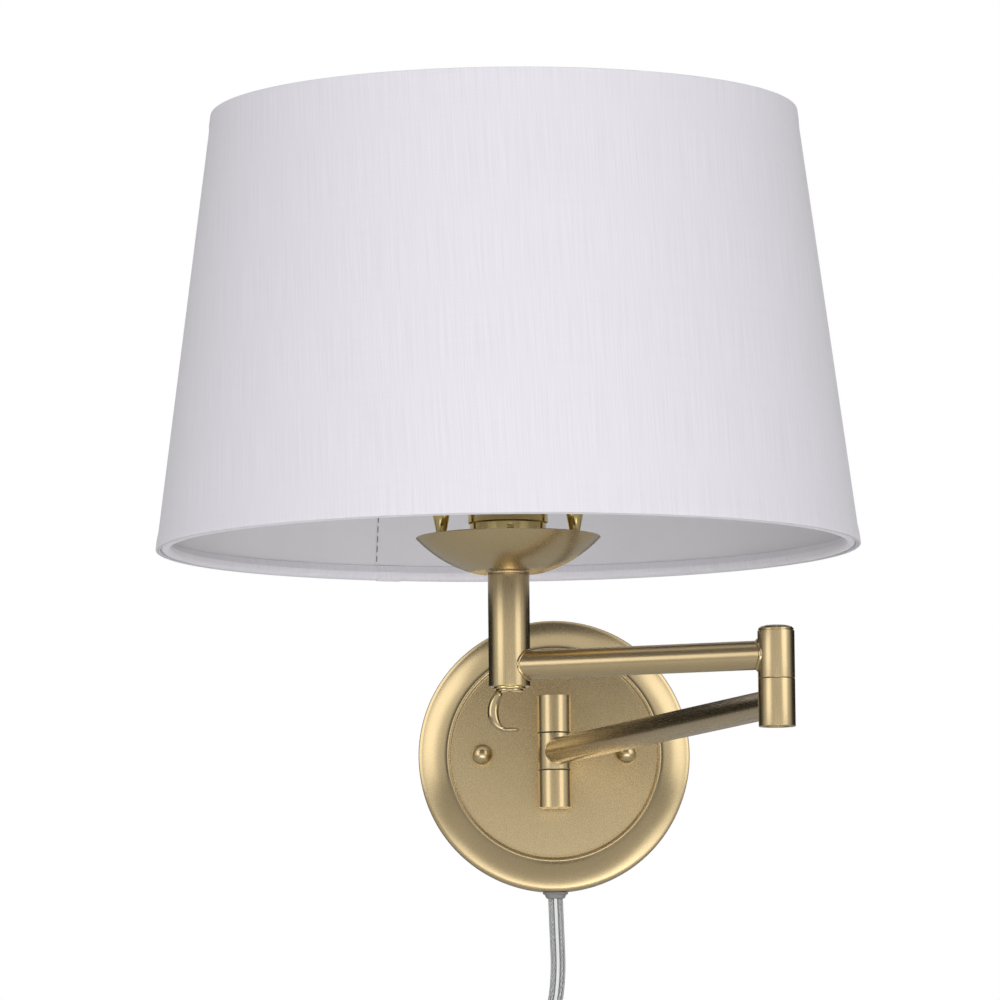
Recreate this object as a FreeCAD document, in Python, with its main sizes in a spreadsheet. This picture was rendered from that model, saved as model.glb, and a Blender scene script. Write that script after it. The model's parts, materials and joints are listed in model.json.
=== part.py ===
"""Plug-in swing arm wall sconce: a parametric FreeCAD document, written out as one STEP per piece.

Row frame: millimetres, +Z up. The wall is the plane Y = 0 and the lamp stands out towards -Y.
The origin is the centre of the mounting crossbar, on the wall.
"""
import FreeCAD, Part
import Sketcher
import math
import os
import re

# Driving dimensions: alias, value, what it is.
SIZES = [
    ("plate_radius", 63.5, "wall plate, outside"),
    ("plate_rim", 13.0, "depth of the plate's side wall"),
    ("plate_front", 20.8, "depth of the plate's centre disc"),
    ("plate_bead", 49.5, "radius of the centre disc"),
    ("plate_wall", 1.0, "spun sheet"),
    ("bar_length", 100.0, "mounting crossbar"),
    ("bar_width", 22.0, "mounting crossbar"),
    ("bar_thick", 2.0, "mounting crossbar"),
    ("wall_screw_spacing", 83.3, "crossbar slots, 3 9/32 inch"),
    ("slot_length", 10.0, "crossbar slot, end to end"),
    ("slot_half_width", 2.3, "crossbar slot"),
    ("stud_offset", 33.75, "ball nuts, from the centre"),
    ("stud_radius", 2.0, "plate studs"),
    ("ball_radius", 4.9, "ball nuts"),
    ("barrel_radius", 7.9, "knuckles of the wall pivot and of the elbow"),
    ("pivot_out", 41.0, "wall to the pivot axis"),
    ("knuckle_length", 17.0, "one of the three wall knuckles"),
    ("washer_thick", 0.4, "friction washers"),
    ("play", 0.05, "running clearance"),
    ("pin_radius", 4.0, "pivot pins"),
    ("lead_radius", 2.2, "sheathed lead inside the arms"),
    ("lead_bore", 2.6, "passage for the lead"),
    ("tube_radius", 6.25, "both arm tubes"),
    ("tube_wall", 1.0, "both arm tubes"),
    ("arm_bore", 3.6, "holes for the lead where a tube meets a barrel or the post"),
    ("lower_arm_length", 299.0, "pivot axis to elbow axis"),
    ("lower_arm_turn", 18.1, "degrees to the right of straight out"),
    ("upper_arm_length", 122.3, "elbow axis to post axis"),
    ("upper_arm_turn", 21.6, "degrees back from straight left"),
    ("elbow_half", 10.2, "half of one elbow barrel's length"),
    ("arm_rise", 20.6, "lower arm axis to upper arm axis"),
    ("spindle_radius", 4.95, "elbow spindle"),
    ("cap_height", 2.4, "domed elbow cap"),
    ("post_radius", 9.0, "post"),
    ("post_wall", 1.2, "post"),
    ("post_bottom", 11.4, "height of the post's lower end"),
    ("post_top", 60.3, "height of the post's upper end"),
    ("collar_radius", 6.95, "polished collar under the post"),
    ("rod_radius", 1.6, "switch rod"),
    ("key_depth", 5.0, "switch key, front to back"),
    ("cup_radius", 40.0, "cup, at the rim"),
    ("cup_rim", 76.2, "height of the cup's rim"),
    ("cup_curve", 55.0, "radius of the cup's bowl"),
    ("cup_wall", 1.0, "spun sheet"),
    ("nipple_radius", 4.9, "threaded lamp nipple"),
    ("nipple_bore", 3.9, "threaded lamp nipple"),
    ("harp_half", 28.9, "half of the spacing of the harp's feet"),
    ("harp_wide", 50.0, "half of the harp's width"),
    ("harp_wire", 1.6, "radius of the harp's wire"),
    ("harp_foot", 93.0, "height of the wire's lower ends"),
    ("harp_top", 243.0, "height of the harp's crown"),
    ("socket_base", 66.6, "height of the socket cap's floor"),
    ("socket_radius", 16.6, "socket cap and shell"),
    ("socket_lip", 17.4, "step where the cap meets the shell"),
    ("socket_step", 82.6, "height of that step"),
    ("socket_mouth", 122.0, "height of the socket's mouth"),
    ("lamp_base_radius", 13.1, "medium screw base"),
    ("bulb_radius", 30.0, "bulb glass"),
    ("bulb_top", 204.0, "height of the bulb's crown"),
    ("shade_bottom_radius", 152.4, "shade, 12 inch across"),
    ("shade_top_radius", 127.5, "shade, 10 inch across"),
    ("shade_bottom", 71.4, "height of the lower rim"),
    ("shade_top", 261.7, "height of the upper rim"),
    ("skin", 0.8, "fabric cover and lining, each"),
    ("skin_gap", 0.1, "between the cover and the lining"),
    ("ring_wire", 1.6, "radius of the shade's ring wire"),
    ("hem", 6.5, "height of the hem tape inside each rim"),
    ("cord_radius", 3.4, "half of the flat lead's width"),
    ("cord_out", 7.0, "wall to the lead where it leaves the plate"),
    ("bushing_end", 66.5, "depth of the bushing's lower face below the centre"),
    ("coil_mean", 38.0, "mean radius of the coil"),
    ("coil_half_radial", 7.6, "half of the coil's section, radially"),
    ("coil_half_deep", 7.3, "half of the coil's section, front to back"),
    ("coil_x", 19.0, "centre of the coil"),
    ("coil_out", 9.0, "wall to the middle of the coil"),
    ("coil_drop", 174.0, "depth of the coil's centre below the origin"),
    ("plug_length", 30.0, "plug body"),
    ("blade_length", 16.0, "plug blades"),
    ("blade_spacing", 12.7, "plug blades"),
]

# The lead hangs from the bushing and bends into the coil. X, Y and Z of each point of its route.
LEAD_ROUTE = [
    (0.0, -7.0, -66.5),
    (0.5, -6.9, -83.0),
    (1.1, -6.4, -100.0),
    (-0.6, -5.9, -116.5),
    (-6.2, -5.6, -130.5),
    (-11.7, -5.5, -143.3),
]
# The tail leaves the coil and hangs down into the plug.
TAIL_ROUTE = [
    (-24.4, -12.5, -174.0),
    (-24.6, -12.7, -186.5),
    (-25.4, -12.5, -198.5),
    (-25.6, -12.0, -210.0),
]

Vector = FreeCAD.Vector
Rotation = FreeCAD.Rotation
Placement = FreeCAD.Placement
X_AXIS, Y_AXIS, Z_AXIS = Vector(1, 0, 0), Vector(0, 1, 0), Vector(0, 0, 1)
OUTWARD = Rotation(X_AXIS, 90)  # turns a piece's own +Z towards -Y, out of the wall
ALIASES = {alias for alias, _, _ in SIZES}

doc = FreeCAD.newDocument("SwingArmSconce")
nodes = []


# ---------------------------------------------------------------- sheet and expressions
def make_sheet():
    sheet = doc.addObject("Spreadsheet::Sheet", "Sizes")
    for row, (alias, number, note) in enumerate(SIZES, start=1):
        sheet.set(f"A{row}", alias)
        sheet.set(f"B{row}", str(number))
        sheet.setAlias(f"B{row}", alias)
        sheet.set(f"C{row}", note)
    doc.recompute()
    return sheet


sizes = make_sheet()


def bound(expression):
    """The expression with every alias given its sheet's name."""
    return re.sub(r"[a-z_]{3,}", lambda m: "Sizes." + m[0] if m[0] in ALIASES else m[0], str(expression))


def value(expression):
    """What an expression of aliases and numbers comes to, as a plain number."""
    result = sizes.evalExpression(bound(expression))
    return float(getattr(result, "Value", result))


def bind(item, prop, expression):
    """Bind a property of an object to the sheet."""
    if any(word in ALIASES for word in re.findall(r"[a-z_]{3,}", str(expression))):
        item.setExpression(prop, bound(expression))
    else:
        setattr(item, prop, value(expression))


def at(x=0, y=0, z=0, turn=None):
    """A placement whose coordinates may be expressions."""
    return Placement(Vector(value(x), value(y), value(z)), turn or Rotation())


# ---------------------------------------------------------------- sketches
def own_plane(body, role):
    return next(f for f in body.Origin.OriginFeatures if f.Role == role)


def edge_between(start, end, bulge):
    """A sketch edge and whether it runs backwards; bulge is an arc's radius, positive to the right."""
    a, b = Vector(*start, 0), Vector(*end, 0)
    if not bulge:
        return Part.LineSegment(a, b), False
    radius, chord = abs(bulge), b - a
    side = Vector(-chord.y, chord.x, 0).normalize() * (1 if bulge > 0 else -1)
    centre = (a + b) * 0.5 + side * math.sqrt(radius ** 2 - (chord.Length / 2) ** 2)
    first, last = (a, b) if bulge > 0 else (b, a)
    angles = [math.atan2(p.y - centre.y, p.x - centre.x) for p in (first, last)]
    if angles[1] < angles[0]:
        angles[1] += 2 * math.pi
    return Part.ArcOfCircle(Part.Circle(centre, Z_AXIS, radius), *angles), bulge < 0


def dome(radius, rise):
    """Radius of an arc that rises over a base radius and meets the axis square on."""
    return f"(({radius})^2 + ({rise})^2) / (2 * ({rise}))"


def outline(body, role, points):
    """A closed sketch on one of the body's planes. A point is x, y and, before an arc, its radius."""
    sketch = body.newObject("Sketcher::SketchObject", "Outline")
    sketch.AttachmentSupport = [(own_plane(body, role), "")]
    sketch.MapMode = "FlatFace"
    corners = [(value(p[0]), value(p[1])) for p in points]
    backwards = []
    for i, point in enumerate(points):
        radius = value(point[2]) if len(point) > 2 else 0
        edge, turned = edge_between(corners[i], corners[(i + 1) % len(points)], radius)
        sketch.addGeometry(edge, False)
        backwards.append(turned)
    for i, point in enumerate(points):
        start = 2 if backwards[i] else 1
        before = (i - 1) % len(points)
        sketch.addConstraint(Sketcher.Constraint("Coincident", before, 1 if backwards[before] else 2, i, start))
        for kind, expression in (("DistanceX", point[0]), ("DistanceY", point[1])):
            pin_coordinate(sketch, f"P{i}{kind[-1]}", (kind, i, start), expression)
        if len(point) > 2:
            pin_coordinate(sketch, f"P{i}R", ("Radius", i), f"abs({point[2]})")
    return sketch


def pin_coordinate(sketch, name, what, expression):
    """Fix one coordinate or radius of a sketch, bound to the sheet where it names an alias."""
    number = sketch.addConstraint(Sketcher.Constraint(*what, value(expression)))
    sketch.renameConstraint(number, name)
    if any(word in ALIASES for word in re.findall(r"[a-z_]{3,}", str(expression))):
        sketch.setExpression("Constraints." + name, bound(expression))


# ---------------------------------------------------------------- solids
def spun(label, points, place=None):
    """A body turned about its own Z axis from an outline of radius and height."""
    body = doc.addObject("PartDesign::Body", label)
    sketch = outline(body, "XZ_Plane", points)
    turned = body.newObject("PartDesign::Revolution", "Turned")
    turned.Profile = sketch
    turned.ReferenceAxis = (sketch, ["V_Axis"])
    turned.Angle = 360
    body.Placement = place or Placement()
    return body


def prism(label, role, points, length, place=None):
    """A body padded to both sides of one of its own planes."""
    body = doc.addObject("PartDesign::Body", label)
    pad = body.newObject("PartDesign::Pad", "Thickness")
    pad.Profile = outline(body, role, points)
    body.Tip = pad
    pad.Midplane = True
    bind(pad, "Length", length)
    body.Placement = place or Placement()
    return body


def tube(label, outer, bore, low, high, place=None):
    return spun(label, [(bore, low), (outer, low), (outer, high), (bore, high)], place)


def rod(radius, length, place, label="Tool"):
    cylinder = doc.addObject("Part::Cylinder", label)
    bind(cylinder, "Radius", radius)
    bind(cylinder, "Height", length)
    cylinder.Placement = place
    return cylinder


def block(length, width, height, place, label="Block"):
    """A box centred on its placement along its own X and Y."""
    box = doc.addObject("Part::Box", label)
    for prop, expression in (("Length", length), ("Width", width), ("Height", height)):
        bind(box, prop, expression)
    box.Placement = place * Placement(Vector(-value(length) / 2, -value(width) / 2, 0), Rotation())
    return box


def fuse(label, pieces):
    joined = doc.addObject("Part::MultiFuse", label)
    joined.Shapes = pieces
    return joined


def cut(label, base, tools):
    result = doc.addObject("Part::Cut", label)
    result.Base = base
    result.Tool = tools[0] if len(tools) == 1 else fuse("Tools", tools)
    return result


def shaped(label, shape, place=None):
    """A piece whose shape comes from a path or from copies."""
    feature = doc.addObject("Part::Feature", label)
    feature.Shape = shape
    feature.Placement = place or Placement()
    return feature


def node(name, piece):
    """Name a finished sub-part; its label names its file."""
    piece.Label = name
    nodes.append(piece)
    return piece


# ---------------------------------------------------------------- paths
def path_edges(points, radii):
    """Straight runs joined by tangent arcs, one radius for each inner point."""
    edges, start = [], points[0]
    for before, corner, after, radius in zip(points, points[1:], points[2:], radii):
        back, ahead = (before - corner).normalize(), (after - corner).normalize()
        half = (math.pi - back.getAngle(ahead)) / 2
        reach = radius * math.tan(half)
        first, last = corner + back * reach, corner + ahead * reach
        inward = (back + ahead).normalize()
        middle = corner + inward * (radius / math.cos(half) - radius)
        if (first - start).Length > 1e-6:
            edges.append(Part.LineSegment(start, first).toShape())
        edges.append(Part.Arc(first, middle, last).toShape())
        start = last
    edges.append(Part.LineSegment(start, points[-1]).toShape())
    return edges


def free_radii(points):
    """The radii of a free cord: 0.45 of the shorter run, over the tangent of half the turn."""
    radii = []
    for before, corner, after in zip(points, points[1:], points[2:]):
        turn = (corner - before).getAngle(after - corner)
        shorter = min((corner - before).Length, (after - corner).Length)
        radii.append(0.45 * shorter / math.tan(turn / 2))
    return radii


def swept(points, radii, radius):
    """A round section carried along a path."""
    path = Part.Wire(path_edges(points, radii))
    section = Part.Wire(Part.makeCircle(radius, points[0], points[1] - points[0]))
    return path.makePipeShell([section], True, False), path.Length


def cord(name, route):
    """One free stretch of the lead, with its radii and volume printed."""
    points = [Vector(*p) for p in route]
    radii = free_radii(points)
    shape, length = swept(points, radii, value("cord_radius"))
    section = math.pi * value("cord_radius") ** 2
    print(f"{name}: length {length:.1f}, radii {[round(r) for r in radii]}, "
          f"volume / (section x length) {shape.Volume / section / length:.4f}")
    node(name, shaped(name, shape))


# ---------------------------------------------------------------- where things stand
PIVOT = Vector(0, -value("pivot_out"), 0)
LOWER_WAY = Vector(value("sin(lower_arm_turn)"), -value("cos(lower_arm_turn)"), 0)
ELBOW = PIVOT + LOWER_WAY * value("lower_arm_length")
UPPER_WAY = Vector(-value("cos(upper_arm_turn)"), value("sin(upper_arm_turn)"), 0)
POST = ELBOW + UPPER_WAY * value("upper_arm_length")
LOWER_TURN = Rotation(Z_AXIS, LOWER_WAY)
UPPER_TURN = Rotation(Z_AXIS, UPPER_WAY)
SWITCH_RISE = "post_bottom - 2"


def on(axis, z=0, turn=None):
    """A placement at a height on one of the upright axes."""
    return Placement(Vector(axis.x, axis.y, value(z)), turn or Rotation())


# ---------------------------------------------------------------- wall plate and its fixings
def make_wall_plate():
    """Spun plate: side wall, narrow land, cove, bead and a slightly domed centre disc."""
    t = "plate_wall"
    shell = spun("PlateShell", [
        (f"plate_radius - {t}", 0),
        ("plate_radius", 0),
        ("plate_radius", "plate_rim - 1.6", 1.6),
        ("plate_radius - 1.6", "plate_rim"),
        ("plate_radius - 3", "plate_rim + 0.15", -12),
        ("plate_bead + 1.3", "plate_front - 1.5", 1.6),
        ("plate_bead - 0.6", "plate_front - 0.3"),
        (0, "plate_front"),
        (0, f"plate_front - {t}"),
        ("plate_bead - 0.9", f"plate_front - 0.3 - {t}"),
        ("plate_bead + 0.43", f"plate_front - 0.99 - {t}", 13),
        ("plate_radius - 3.06", f"plate_rim + 0.15 - {t}"),
        (f"plate_radius - 0.6 - {t}", f"plate_rim - {t}"),
        (f"plate_radius - {t}", f"plate_rim - {t} - 0.6"),
    ], at(turn=OUTWARD))
    tools = [rod("nipple_radius + 0.3", "30", at(turn=OUTWARD))]
    for side in (-1, 1):
        tools.append(rod("stud_radius + 0.3", "30", at(f"{side} * stud_offset", turn=OUTWARD)))
    tools.append(block(8.6, 4.6, 12, at(0, "-cord_out", "-plate_radius - 5")))
    node("wall_plate", cut("PlateCut", shell, tools))


def slot_tool(x):
    """A tool for a slot along X through the crossbar."""
    straight = "slot_length - 2 * slot_half_width"
    pieces = [block(straight, "2 * slot_half_width", 10, at(x, 1, 0, OUTWARD))]
    for side in (-0.5, 0.5):
        pieces.append(rod("slot_half_width", 10, at(f"{x} + {side} * ({straight})", 1, 0, OUTWARD)))
    return fuse("Slot", pieces)


def make_crossbar():
    bar = block("bar_length", "bar_width", "bar_thick", at(turn=OUTWARD))
    tools = [slot_tool(f"{side} * wall_screw_spacing / 2") for side in (-1, 1)]
    tools += [rod("stud_radius", 10, at(f"{side} * stud_offset", 1, 0, OUTWARD)) for side in (-1, 1)]
    tools.append(rod("nipple_radius", 10, at(0, 1, 0, OUTWARD)))
    node("mounting_crossbar", cut("Crossbar", bar, tools))


def make_plate_fixings():
    """Two studs with a thin nut on the bar and a ball nut on the plate."""
    studs = [rod("stud_radius", "plate_front + 3", at(f"{s} * stud_offset", turn=OUTWARD)) for s in (-1, 1)]
    node("plate_studs", group("Studs", studs))
    nut = hex_ring(3.4, "stud_radius", 2.4)
    places = [at(f"{s} * stud_offset", "-bar_thick", 0, OUTWARD) for s in (-1, 1)]
    node("stud_nuts", shaped("StudNuts", copies(nut, places)))
    ball = spun("Ball", [
        ("stud_radius", "plate_front - 0.17"),
        (3.9, "plate_front - 0.17"),
        (3.9, "plate_front + 0.6", "ball_radius"),
        (0, "plate_front + 0.6 + sqrt(ball_radius^2 - 3.9^2) + ball_radius"),
        (0, "plate_front + 3"),
        ("stud_radius", "plate_front + 3"),
    ])
    places = [at(f"{s} * stud_offset", turn=OUTWARD) for s in (-1, 1)]
    node("ball_nuts", shaped("BallNuts", copies(ball, places)))


def group(label, pieces):
    """Several separate pieces as one sub-part."""
    doc.recompute()
    return shaped(label, Part.makeCompound([piece.Shape.copy() for piece in pieces]))


def copies(piece, places):
    """A compound of one shape, or of one object's shape, at several placements."""
    doc.recompute()
    shape = getattr(piece, "Shape", piece)
    made = []
    for place in places:
        copy = shape.copy()
        copy.Placement = place.multiply(copy.Placement)
        made.append(copy)
    return Part.makeCompound(made)


def hex_ring(inner_radius, bore, height):
    """A hexagon nut: inner_radius is half of its width across flats."""
    corner = value(inner_radius) / math.cos(math.pi / 6)
    turns = [math.radians(60 * i) for i in range(7)]
    ring = Part.makePolygon([Vector(corner * math.cos(a), corner * math.sin(a), 0) for a in turns])
    nut = Part.Face(ring).extrude(Vector(0, 0, value(height)))
    return nut.cut(Part.makeCylinder(value(bore), value(height)))


# ---------------------------------------------------------------- wall pivot
YOKE_HALF = "1.5 * knuckle_length + washer_thick + 2 * play"
GAP_HALF = "knuckle_length / 2 + washer_thick + 2 * play"
WEB_BACK = "pivot_out - plate_front - 3.8"


def make_pivot_yoke():
    """The outer two knuckles, the web behind them and the threaded stem, drilled for the lead."""
    web = prism("Web", "YZ_Plane", [
        (0, f"-({YOKE_HALF})"),
        (f"{WEB_BACK} - 5", f"-({YOKE_HALF})", 5),
        (WEB_BACK, f"-({YOKE_HALF}) + 5"),
        (WEB_BACK, f"{YOKE_HALF} - 5", 5),
        (f"{WEB_BACK} - 5", YOKE_HALF),
        (0, YOKE_HALF),
    ], 12, on(PIVOT))
    barrel = rod("barrel_radius", f"2 * ({YOKE_HALF})", on(PIVOT, f"-({YOKE_HALF})"))
    neck = rod(6, 3.9, at(0, "-plate_front", 0, OUTWARD))
    thread = rod("nipple_radius", 8, at(0, "-plate_front + 8", 0, OUTWARD))
    tools = [
        rod("barrel_radius + 0.35", f"2 * ({GAP_HALF})", on(PIVOT, f"-({GAP_HALF})")),
        rod("pin_radius", 60, on(PIVOT, -30)),
        rod("lead_bore", 20, at(0, "-plate_front + 8.2", 0, OUTWARD)),
        rod("lead_bore + 0.2", 23.6, at(0, "-plate_front - 7.4", -20.3)),
        rod("lead_bore", "pivot_out - plate_front - 7.4", at(0, "-plate_front - 7.4", -17.3, OUTWARD)),
    ]
    node("pivot_yoke", cut("Yoke", fuse("YokeBody", [web, barrel, neck, thread]), tools))


def make_pivot_fittings():
    node("pivot_pins", group("PivotPins", [
        tube("UpperPin", "pin_radius", "lead_bore - 0.2", 3.5, 23.4, on(PIVOT)),
        tube("LowerPin", "pin_radius", "lead_bore - 0.2", -14.2, -3.5, on(PIVOT)),
    ]))
    plug = Part.makeCylinder(value("pin_radius"), 2.2)
    ends = [on(PIVOT, f"{YOKE_HALF} - 2.3"), on(PIVOT, f"0.1 - ({YOKE_HALF})")]
    node("pivot_end_plugs", shaped("EndPlugs", copies(plug, ends)))
    washer = tube("Washer", "barrel_radius - 0.35", "pin_radius", 0, "washer_thick")
    lifts = ["knuckle_length / 2 + play", "-knuckle_length / 2 - play - washer_thick"]
    node("pivot_washers", shaped("PivotWashers", copies(washer, [on(PIVOT, z) for z in lifts])))
    node("stem_collar", tube("StemCollar", 10, 6, 0, 2.2, at(0, "-plate_front", 0, OUTWARD)))
    nut = hex_ring(7.4, "nipple_radius", 3.6)
    node("stem_nut", shaped("StemNut", copies(nut, [at(0, "-plate_front + plate_wall + 4.3", 0, OUTWARD)])))
    node("stem_washer", tube("StemWasher", 8.2, "nipple_radius", 0, 0.6,
                             at(0, "-plate_front + plate_wall + 0.65", 0, OUTWARD)))


def make_plate_leads():
    """Two wires from the bushing through in-line connectors, and the sheathed lead through the yoke."""
    wire = 1.1
    shapes, caps = [], []
    for side in (-1, 1):
        low = [Vector(side * 1.8, -7, -44.5), Vector(side * 5, -7.5, -41), Vector(side * 14, -9, -36.5)]
        high = [Vector(side * 14, -9, -19.5), Vector(side * 7, -10.5, -6), Vector(side * 1.3, -11.4, -1.2)]
        shapes += [swept(low, [4], wire)[0], swept(high, [8], wire)[0]]
        caps.append(Placement(Vector(side * 14, -9, -36.5), Rotation()))
    cap = spun("Connector", [(0, 0), (3.4, 0), (4.6, 3), (4.6, 14), (3.4, 17), (0, 17)])
    node("wire_connectors", shaped("Connectors", copies(cap, caps)))
    back, lift = -value("plate_front") - 7.4, -17.3
    way = [Vector(0, -13, 0), Vector(0, back, 0), Vector(0, back, lift), Vector(0, PIVOT.y, lift),
           Vector(0, PIVOT.y, -3)]
    shapes.append(swept(way, [2.4] * 3, value("lead_radius"))[0])
    node("plate_leads", shaped("PlateLeads", Part.makeCompound(shapes)))


# ---------------------------------------------------------------- lower arm
def arm_tube(label, start, way, turn, length, start_radius, end_radius):
    """A tube between two upright barrels, coped to fit each, at the height of its start."""
    whole = tube(label + "Stock", "tube_radius", "tube_radius - tube_wall", 0, length,
                 Placement(start, turn))
    tools = []
    for radius, along in ((start_radius, 0), (end_radius, value(length))):
        foot = start + way * along + Vector(0, 0, -20)
        tools.append(rod(radius, 40, Placement(foot, Rotation())))
    return cut(label, whole, tools)


def side_hole(start, turn, length=14):
    """A tool for the lead's hole in the side of a barrel."""
    return rod("arm_bore", length, Placement(start, turn))


def make_lower_arm():
    knuckle = tube("Knuckle", "barrel_radius - 0.1", "pin_radius + play",
                   "-knuckle_length / 2", "knuckle_length / 2", on(PIVOT))
    node("pivot_knuckle", cut("PivotKnuckle", knuckle, [side_hole(PIVOT, LOWER_TURN)]))
    node("lower_arm_tube", arm_tube("LowerArm", PIVOT, LOWER_WAY, LOWER_TURN, "lower_arm_length",
                                    "barrel_radius - 0.1", "barrel_radius"))
    barrel = tube("LowerBarrel", "barrel_radius", "spindle_radius", "-elbow_half", "elbow_half", on(ELBOW))
    back = Rotation(Z_AXIS, LOWER_WAY * -1)
    node("elbow_lower_barrel", cut("ElbowLower", barrel, [side_hole(ELBOW, back)]))
    spindle = tube("Spindle", "spindle_radius", 3, "arm_bore + 1", "arm_rise + 1.6", on(ELBOW))
    opening = side_hole(ELBOW + Vector(0, 0, value("arm_rise")), UPPER_TURN)
    node("elbow_spindle", cut("ElbowSpindle", spindle, [opening]))
    node("elbow_base_plug", tube("BasePlug", "spindle_radius", 0, "0.3 - elbow_half", "2.6 - elbow_half",
                                 on(ELBOW)))
    node("elbow_washer", tube("ElbowWasher", "barrel_radius - 0.3", "spindle_radius",
                              "elbow_half", "arm_rise - elbow_half - play", on(ELBOW)))
    reach = value("lower_arm_length")
    way = [PIVOT + LOWER_WAY * 2.5, PIVOT + LOWER_WAY * reach, ELBOW + Vector(0, 0, 17.6)]
    node("lower_arm_lead", shaped("LowerLead", swept(way, [2.4], value("lead_radius"))[0]))


# ---------------------------------------------------------------- upper arm and post
def make_upper_arm():
    rise = Vector(0, 0, value("arm_rise"))
    barrel = spun("UpperBarrel", [
        ("spindle_radius + play", "arm_rise - elbow_half"),
        ("barrel_radius", "arm_rise - elbow_half"),
        ("barrel_radius", "arm_rise + elbow_half"),
        ("spindle_radius + play", "arm_rise + elbow_half"),
    ], on(ELBOW))
    node("elbow_upper_barrel", cut("ElbowUpper", barrel, [side_hole(ELBOW + rise, UPPER_TURN)]))
    node("elbow_cap", spun("Cap", [
        (0, "arm_rise + elbow_half - 3"),
        (4.2, "arm_rise + elbow_half - 3"),
        (4.2, "arm_rise + elbow_half"),
        ("barrel_radius - 0.75", "arm_rise + elbow_half"),
        ("barrel_radius - 0.75", "arm_rise + elbow_half + 0.35"),
        ("barrel_radius - 0.3", "arm_rise + elbow_half + 0.35"),
        ("barrel_radius - 0.3", "arm_rise + elbow_half + 0.7", 1.5),
        ("barrel_radius - 1.6", "arm_rise + elbow_half + cap_height - 0.3", dome("barrel_radius - 1.6", 0.3)),
        (0, "arm_rise + elbow_half + cap_height"),
    ], on(ELBOW)))
    node("upper_arm_tube", arm_tube("UpperArm", ELBOW + rise, UPPER_WAY, UPPER_TURN, "upper_arm_length",
                                    "barrel_radius", "post_radius"))


def make_post():
    post = tube("PostStock", "post_radius", "post_radius - post_wall", "post_bottom", "post_top", on(POST))
    hole = side_hole(POST + Vector(0, 0, value("arm_rise")), Rotation(Z_AXIS, UPPER_WAY * -1))
    node("post_tube", cut("Post", post, [hole]))
    inner = "post_radius - post_wall"
    node("post_inserts", group("Inserts", [
        tube("LowerInsert", inner, "rod_radius + play", "post_bottom", "post_bottom + 3.6", on(POST)),
        tube("UpperInsert", inner, "nipple_radius", "post_top - 8", "post_top", on(POST)),
    ]))
    node("post_collar", spun("Collar", [
        ("rod_radius + 0.1", "post_bottom - 1.1"),
        ("collar_radius - 0.3", "post_bottom - 1.1"),
        ("collar_radius", "post_bottom - 0.8"),
        ("collar_radius", "post_bottom"),
        ("rod_radius + 0.1", "post_bottom"),
    ], on(POST)))
    rise = Vector(0, 0, value("arm_rise"))
    start = ELBOW + rise + UPPER_WAY * (value("spindle_radius") + 0.5)
    end = POST + rise - UPPER_WAY * 4.6
    leads = [Part.makeCylinder(value("lead_radius"), (end - start).Length, start, UPPER_WAY)]
    leads += [Part.makeCylinder(0.95, 62, POST + Vector(0, side * 2.8, 22)) for side in (-1, 1)]
    node("upper_leads", shaped("UpperLeads", Part.makeCompound(leads)))


def make_switch_key():
    """Open crescent key on a thin hub, and the long rod that turns the switch in the socket."""
    key = prism("Crescent", "XZ_Plane", [
        (-6.0, f"{SWITCH_RISE} + 0.1", -15.5),
        (-9.9, "-1.6", -14),
        (-4.4, "-8.3"),
        (3.9, "-8.3", 0.9),
        (3.9, "-6.6"),
        (-1.9, "-6.6", 10.5),
        (-4.9, "2.2", 9.5),
        (-2.6, f"{SWITCH_RISE} + 0.1"),
    ], "key_depth", on(POST))
    ridge = doc.addObject("Part::Chamfer", "Facets")
    ridge.Base = key
    doc.recompute()
    sides = [i for i, e in enumerate(key.Shape.Edges, start=1)
             if abs(e.BoundBox.YLength) < 0.01 and e.BoundBox.ZMax < value(SWITCH_RISE)]
    ridge.Edges = [(i, 0.7, 0.7) for i in sides]
    hub = tube("Hub", 6.2, "rod_radius", SWITCH_RISE, f"{SWITCH_RISE} + 0.8", on(POST))
    node("switch_key", fuse("Key", [ridge, hub]))
    node("switch_rod", rod("rod_radius", f"92 - ({SWITCH_RISE})", on(POST, SWITCH_RISE)))


# ---------------------------------------------------------------- cup, harp and socket
def cup_height(radius, inset=0):
    """Height of the bowl's surface at a radius, moved in by the sheet's thickness if asked."""
    centre = value("cup_rim") + math.sqrt(value("cup_curve") ** 2 - value("cup_radius") ** 2)
    return centre - math.sqrt((value("cup_curve") - inset) ** 2 - radius ** 2)


def cup_seat():
    """Height of the flat seat inside the cup."""
    return cup_height(11.2) + 0.35 + value("cup_wall")


def make_cup():
    """Shallow spun bowl with a flared neck that sits on the post."""
    wall = value("cup_wall")
    seat = cup_seat()
    node("cup", spun("Cup", [
        ("nipple_radius + 0.1", "post_top"),
        ("post_radius", "post_top", -2.6),
        ("post_radius + 2.2", seat - wall),
        (15.0, cup_height(15.0), "cup_curve"),
        ("cup_radius", "cup_rim"),
        ("cup_radius - 0.7", "cup_rim + 0.4"),
        ("cup_radius - 1.2", cup_height(value("cup_radius") - 1.2, wall), "-(cup_curve - cup_wall)"),
        (16.0, cup_height(16.0, wall)),
        (11.0, seat),
        ("nipple_radius + 0.1", seat),
    ], on(POST)))


def make_nipple():
    node("lamp_nipple", tube("Nipple", "nipple_radius", "nipple_bore", "post_top - 7.8", 79, on(POST)))
    nut = hex_ring(7.2, "nipple_radius", 3.4)
    node("cup_nut", shaped("CupNut", copies(nut, [on(POST, cup_seat())])))


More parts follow.
